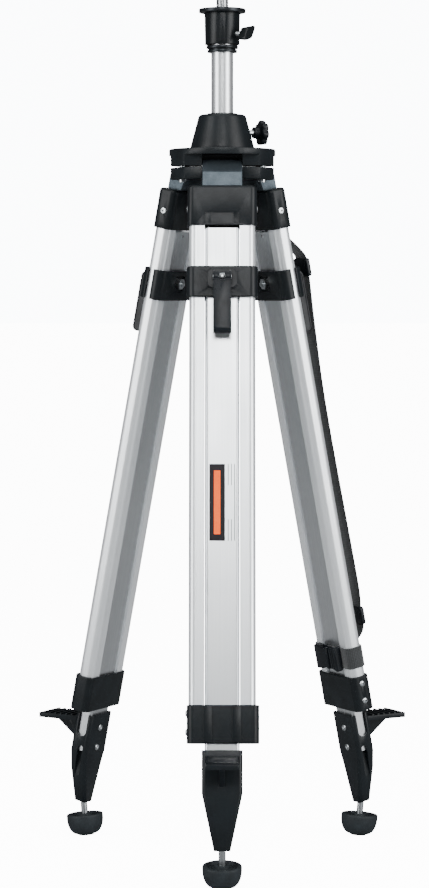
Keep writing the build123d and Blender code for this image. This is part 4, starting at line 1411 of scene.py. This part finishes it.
@dataclass
class Straps:
    """Shoulder strap with two sliders, and the binding strap with its buckle.

    Attributes:
        leg: Frame of the leg that carries them.
        scatter: Tool that sets out repeated shapes.
        thickness: Thickness of the webbing, mm.
        aside: How far to one side the strap would give way when the lever opens, mm. It is not used.
    """

    leg: LegFrame
    scatter: Scatter
    thickness: float = 1.8
    aside: float = 34.0

    def build(self) -> None:
        """Make the straps, sliders, stitches and buckle."""
        self.shoulder()
        self.binding()
        self.buckle()
        log.info("straps: shoulder strap, sliders, binding strap and buckle")

    def gives_way(self, piece: bpy.types.Object) -> None:
        """Put a piece on the strap onto the leg, with a mesh of its own."""
        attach(piece, self.leg.name("leg"))
        self.leg.name("lever_turn")
        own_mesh(piece)

    def shoulder(self) -> None:
        """The long strap, down the outside of the leg."""
        low, high = self.leg.span("shoulder_strap")
        sliders = sorted(islands(self.leg.name("strap_sliders"), self.leg.place), key=lambda box: -box[0].z)
        (upper_low, upper_high), (lower_low, lower_high) = sliders
        rail_out = self.leg.span("rails")[0].y
        band = self.leg.span("binding_strap")
        band_out, band_high = band[0].y, band[1].z
        width = high.x - low.x
        upper = Vector(((upper_low.y + upper_high.y) / 2, (upper_low.z + upper_high.z) / 2))
        lower = Vector(((lower_low.y + lower_high.y) / 2, (lower_low.z + lower_high.z) / 2))
        line = soft_curve([
            (rail_out - 1.4, high.z - 0.4),
            (rail_out - 1.6, high.z - 4.0),
            (rail_out - 3.0, high.z - 8.0),
            (rail_out + (upper.x - rail_out) * 0.5, high.z + (upper.y + 15.0 - high.z) * 0.5),
            (upper.x + 2.0, upper.y + 18.0),
            (upper.x, upper.y + 12.0),
            (upper.x, upper.y),
            (upper.x + 0.3, upper.y - 14.0),
            (upper.x + 4.0, upper.y - 70.0),
            (lower.x - 0.4, upper.y - 150.0),
            (lower.x, (upper.y + lower.y) / 2),
            (lower.x - 2.2, lower.y + 90.0),
            (lower.x - 2.6, lower.y + 40.0),
            (lower.x - 1.8, lower.y + 22.0),
            (lower.x, lower.y + 9.0),
            (lower.x, lower.y - 13.0),
            (lower.x + 5.0, band_high + 7.0),
            (band_out - 4.0, band_high - 3.0),
            (band_out - 1.2, band_high - 8.0),
            (band_out - 1.1, low.z + 1.0),
        ])
        strap = ribbon(self.leg.name("strap_webbing"), line, width, self.thickness, self.leg.place)
        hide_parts(self.leg.name("shoulder_strap"))
        self.gives_way(strap)
        self.stitches("strap_stitches", line, width)
        for number, (slider_low, slider_high) in enumerate(sliders):
            self.slider(number, slider_low, slider_high)

    def stitches(self, name: str, line: Sequence[Vector], width: float) -> None:
        """Bar tacks near both ends of the strap.

        Args:
            name: What the tacks are called on their leg.
            line: Middle of the strap, mm.
            width: Width of the strap, mm.
        """
        places = []
        spacing, walked = 3.4, 0.0
        total = sum((after - before).length for before, after in zip(line, line[1:]))
        for before, after in zip(line, line[1:]):
            walked += (after - before).length
            near_end = 4.0 < walked < 22.0 or total - 24.0 < walked < total - 3.0
            if not near_end:
                continue
            tangent = (after - before).normalized()
            normal = Vector((-tangent.y, tangent.x))
            outward = normal if normal.x < 0 else -normal
            for column in (-0.36, -0.12, 0.12, 0.36):
                spot = before + outward * (self.thickness / 2)
                frame_axes = axes_frame(
                    self.leg.place @ (Vector((column * width, spot.x, spot.y)) * MM),
                    self.leg.place.to_3x3() @ Vector((1, 0, 0)),
                    self.leg.place.to_3x3() @ Vector((0, outward.x, outward.y)))
                places.append(frame_axes)
        tacks = self.scatter.set_out(self.leg.name(name), Stitch(spacing * 0.8).shape(), places, WEBBING)
        self.gives_way(tacks)

    def slider(self, number: int, low: Vector, high: Vector) -> None:
        """One slider: a frame with soft edges round the strap and two windows in its face.

        Args:
            number: Which slider, from 0.
            low: Its lowest corner in the leg's frame, mm.
            high: Its highest corner in the leg's frame, mm.
        """
        width, height, depth = high.x - low.x, high.z - low.z, high.y - low.y
        maker = bmesh.new()
        soft_prism(maker, rounded_rectangle(width, height, 4.0, 5), 0.0, depth, 1.6, 1.6)
        place = self.leg.at((0, high.y, (low.z + high.z) / 2), (90, 0, 0))
        piece = to_object(maker, self.leg.name(f"strap_slider_{number}"), place, 50)
        hole = bmesh.new()
        box_solid(hole, (0, 0, depth / 2), (width - 7.4, height + 4, self.thickness + 0.7))
        cut(piece, hole, place)
        for side in (-1, 1):
            window = bmesh.new()
            soft_prism(window, rounded_rectangle(width - 11.0, 5.0, 1.2, 3), depth / 2, depth * 2, 0.1, 0.1)
            bmesh.ops.translate(window, vec=(0, side * 6.2, 0), verts=window.verts)
            cut(piece, window, place)
        piece.data.set_sharp_from_angle(angle=math.radians(50))
        dress(piece, HANDLED_NYLON)
        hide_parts(self.leg.name("strap_sliders"))
        self.gives_way(piece)

    def binding(self) -> None:
        """The short strap round the leg."""
        low, high = self.leg.span("binding_strap")
        thin = self.thickness / 2
        outline = rounded_rectangle(high.x - low.x - 2 * thin, high.y - low.y - 2 * thin, 8.6, 8)
        dense = []
        for before, after in zip(outline, outline[1:] + outline[:1]):
            gap = math.dist(before, after)
            for k in range(max(1, int(gap / 4.0))):
                t = k / max(1, int(gap / 4.0))
                dense.append(Vector([before[n] + (after[n] - before[n]) * t for n in range(2)]))
        centre = ((low.x + high.x) / 2, (low.y + high.y) / 2, (low.z + high.z) / 2)
        turned = self.leg.at(centre) @ Matrix(((0, 1, 0, 0), (0, 0, 1, 0), (1, 0, 0, 0), (0, 0, 0, 1)))
        band = ribbon(self.leg.name("binding_webbing"), dense, high.z - low.z, self.thickness, turned, True)
        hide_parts(self.leg.name("binding_strap"))
        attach(band, self.leg.name("leg"))

    def buckle(self) -> None:
        """Side-release buckle: a socket with side windows, and a plug whose two prongs show in them."""
        low, high = self.leg.span("strap_buckle")
        width, height, depth = high.x - low.x, high.z - low.z, high.y - low.y
        place = self.leg.at(((low.x + high.x) / 2, low.y, (low.z + high.z) / 2), (-90, 0, 0))
        socket_end, waist = 0.22, 0.62
        half_w, half_h = width / 2, height / 2

        def half(sign: float) -> list[tuple[float, float]]:
            """Outline of one end, waisted where fingers press."""
            edge = socket_end * half_w
            points = [
                (edge * -1.0, -half_h * 0.86), (half_w * 0.9, -half_h), (half_w, -half_h * 0.9),
                (half_w, half_h * 0.9), (half_w * 0.9, half_h), (edge * -1.0, half_h * 0.86)]
            turned = [(sign * x, y) for x, y in points]
            return turned if sign > 0 else list(reversed(turned))

        socket = bmesh.new()
        soft_prism(socket, half(1.0), 0.0, depth, 1.0, 1.8)
        body = to_object(socket, self.leg.name("buckle_socket"), place, 45)
        for sign in (-1, 1):
            window = bmesh.new()
            slot = rounded_rectangle(width * 0.26, height * 0.24, 2.0, 4)
            soft_prism(window, slot, depth * 0.25, depth * 3, 0.1, 0.1)
            bmesh.ops.translate(window, vec=(width * 0.1, sign * half_h, 0), verts=window.verts)
            cut(body, window, place)
        plug = bmesh.new()
        soft_prism(plug, [
            (-half_w, -half_h * 0.9), (-half_w * 0.9, -half_h), (-half_w * 0.42, -half_h * waist * 1.3),
            (-half_w * 0.34, -half_h * 0.86), (-half_w * 0.34, half_h * 0.86),
            (-half_w * 0.42, half_h * waist * 1.3), (-half_w * 0.9, half_h), (-half_w, half_h * 0.9)],
            0.0, depth * 0.92, 1.0, 1.6)
        tail = to_object(plug, self.leg.name("buckle_plug"), place, 45)
        for share in (-0.72, -0.56):
            rib = bmesh.new()
            box_solid(rib, (half_w * share, 0, depth * 0.92), (1.2, height * 0.8, 1.4))
            cut(tail, rib, place)
        for piece in (body, tail):
            piece.data.set_sharp_from_angle(angle=math.radians(45))
            dress(piece, HANDLED_NYLON)
            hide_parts(self.leg.name("strap_buckle"))
            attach(piece, self.leg.name("leg"))


# ------------------------------------------------------------------------------------------
# Floor, lights and camera
# ------------------------------------------------------------------------------------------
@dataclass
class Studio:
    """Pale floor and surround, soft lights and the camera.

    Attributes:
        distance: Camera in front of the column, m.
        height: Camera over the floor, m.
        pitch: How far it looks down, degrees.
        yaw: How far it turns to its left, degrees.
        lens: Focal length on a 36 mm long side, mm.
        white: Colour of the floor.
        floor_radius: Radius of the floor, m.
        glow: How much floor and surround are over-lit, as an evenly lit backdrop is.
        mirror_dim: How much dimmer the floor is in reflections, as if it ended near the object.
        pale_room: Brightness of the room on matt faces.
        dark_room: Brightness of the room between the softboxes, in reflections.
    """

    distance: float = 3.372
    height: float = 0.730
    pitch: float = 3.45
    yaw: float = 0.167
    lens: float = 107.2
    white: str = "F4F5F6"
    floor_radius: float = 60.0
    glow: float = 12.0
    mirror_dim: float = 0.8
    pale_room: float = 0.8
    dark_room: float = 0.12

    def build(self) -> None:
        """Set the stage."""
        self.floor()
        self.lights()
        self.camera()
        log.info("studio: floor, lights and camera")

    def floor(self) -> None:
        """Wide plain floor, pale to its edge."""
        maker = bmesh.new()
        bmesh.ops.create_circle(maker, cap_ends=True, segments=64, radius=self.floor_radius)
        mesh = bpy.data.meshes.new("floor")
        maker.to_mesh(mesh)
        maker.free()
        paper = bpy.data.materials.new("matt_paper")
        paper.use_nodes = True
        tree = paper.node_tree
        shader = tree.nodes["Principled BSDF"]
        place = add(tree, "ShaderNodeTexCoord")
        mottle = add(tree, "ShaderNodeTexNoise", {
            "Vector": place.outputs["Object"], "Scale": 3.0, "Detail": 3.0})
        tint = ramp(tree, mottle.outputs["Fac"], [(0.3, linear("F1F2F3")), (0.7, linear(self.white))])
        seen = add(tree, "ShaderNodeLightPath")
        shade = add(tree, "ShaderNodeMath", {
            0: seen.outputs["Is Glossy Ray"], 1: -self.mirror_dim, 2: 1.0}, operation="MULTIPLY_ADD")
        dimmed = add(tree, "ShaderNodeHueSaturation", {
            "Color": tint.outputs["Color"], "Value": shade.outputs[0]})
        glow = add(tree, "ShaderNodeMath", {
            0: seen.outputs["Is Camera Ray"], 1: self.glow}, operation="MULTIPLY")
        tree.links.new(dimmed.outputs["Color"], shader.inputs["Base Color"])
        tree.links.new(glow.outputs[0], shader.inputs["Emission Strength"])
        shader.inputs["Emission Color"].default_value = linear("FFFFFF")
        shader.inputs["Roughness"].default_value = 0.9
        shader.inputs["Specular IOR Level"].default_value = 0.1
        floor = bpy.data.objects.new("floor", mesh)
        floor.data.materials.append(paper)
        bpy.context.scene.collection.objects.link(floor)

    def area(self, name: str, spot: Point, aim: Point, size: tuple[float, float], power: float) -> None:
        """Add one softbox.

        Args:
            name: Name of the light.
            spot: Where it stands, m.
            aim: What it faces, m.
            size: Width and height, m.
            power: Watts.
        """
        light = bpy.data.lights.new(name, "AREA")
        light.shape = "RECTANGLE"
        light.size, light.size_y = size
        light.energy = power
        lamp = bpy.data.objects.new(name, light)
        lamp.location = spot
        lamp.rotation_euler = (Vector(aim) - Vector(spot)).to_track_quat("-Z", "Y").to_euler()
        bpy.context.scene.collection.objects.link(lamp)

    def lights(self) -> None:
        """Two softboxes in front, one overhead, and a pale surround."""
        self.area("left_box", (-2.45, -1.45, 1.4), (0, 0, 0.6), (1.5, 2.6), 80)
        self.area("right_box", (2.35, -1.5, 1.4), (0, 0, 0.6), (1.6, 2.6), 100)
        self.area("front_box", (0, -3.4, 2.3), (0, 0, 0.5), (1.7, 1.3), 72)
        self.area("top_box", (0, -0.4, 3.0), (0, 0.2, 0.4), (2.6, 2.6), 42)
        world = bpy.data.worlds.new("pale_surround")
        world.use_nodes = True
        tree = world.node_tree
        back = tree.nodes["Background"]
        seen = add(tree, "ShaderNodeLightPath")
        shade = add(tree, "ShaderNodeMath", {
            0: seen.outputs["Is Glossy Ray"], 1: self.dark_room - self.pale_room, 2: self.pale_room,
        }, operation="MULTIPLY_ADD")
        shade = add(tree, "ShaderNodeMath", {
            0: seen.outputs["Is Camera Ray"], 1: self.glow, 2: shade.outputs[0]}, operation="MULTIPLY_ADD")
        back.inputs["Color"].default_value = linear("F2F5F8")
        tree.links.new(shade.outputs[0], back.inputs["Strength"])
        bpy.context.scene.world = world

    def camera(self) -> None:
        """The camera in front of the column."""
        low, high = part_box("column_tube")
        lens = bpy.data.cameras.new("view")
        lens.sensor_fit = "AUTO"
        lens.sensor_width = 36.0
        lens.lens = self.lens
        lens.clip_end = 50.0
        eye = bpy.data.objects.new("view", lens)
        eye.location = ((low.x + high.x) / 2, (low.y + high.y) / 2 - self.distance, self.height)
        eye.rotation_euler = (math.radians(90 - self.pitch), 0.0, math.radians(self.yaw))
        bpy.context.scene.collection.objects.link(eye)
        bpy.context.scene.camera = eye


def main() -> None:
    """Build everything in order."""
    logging.basicConfig(level=logging.INFO, format="%(name)s: %(message)s")
    Studio().build()
    scatter, thread = Scatter(), Thread()
    Head(scatter).build()
    Column(thread).build()
    for side in Side:
        Leg(LegFrame.of(side), scatter, thread).build()
    FrontLabel(LegFrame.of(Side.FRONT)).build()
    Straps(LegFrame.of(Side.RIGHT), scatter).build()


if __name__ == "__main__":
    main()
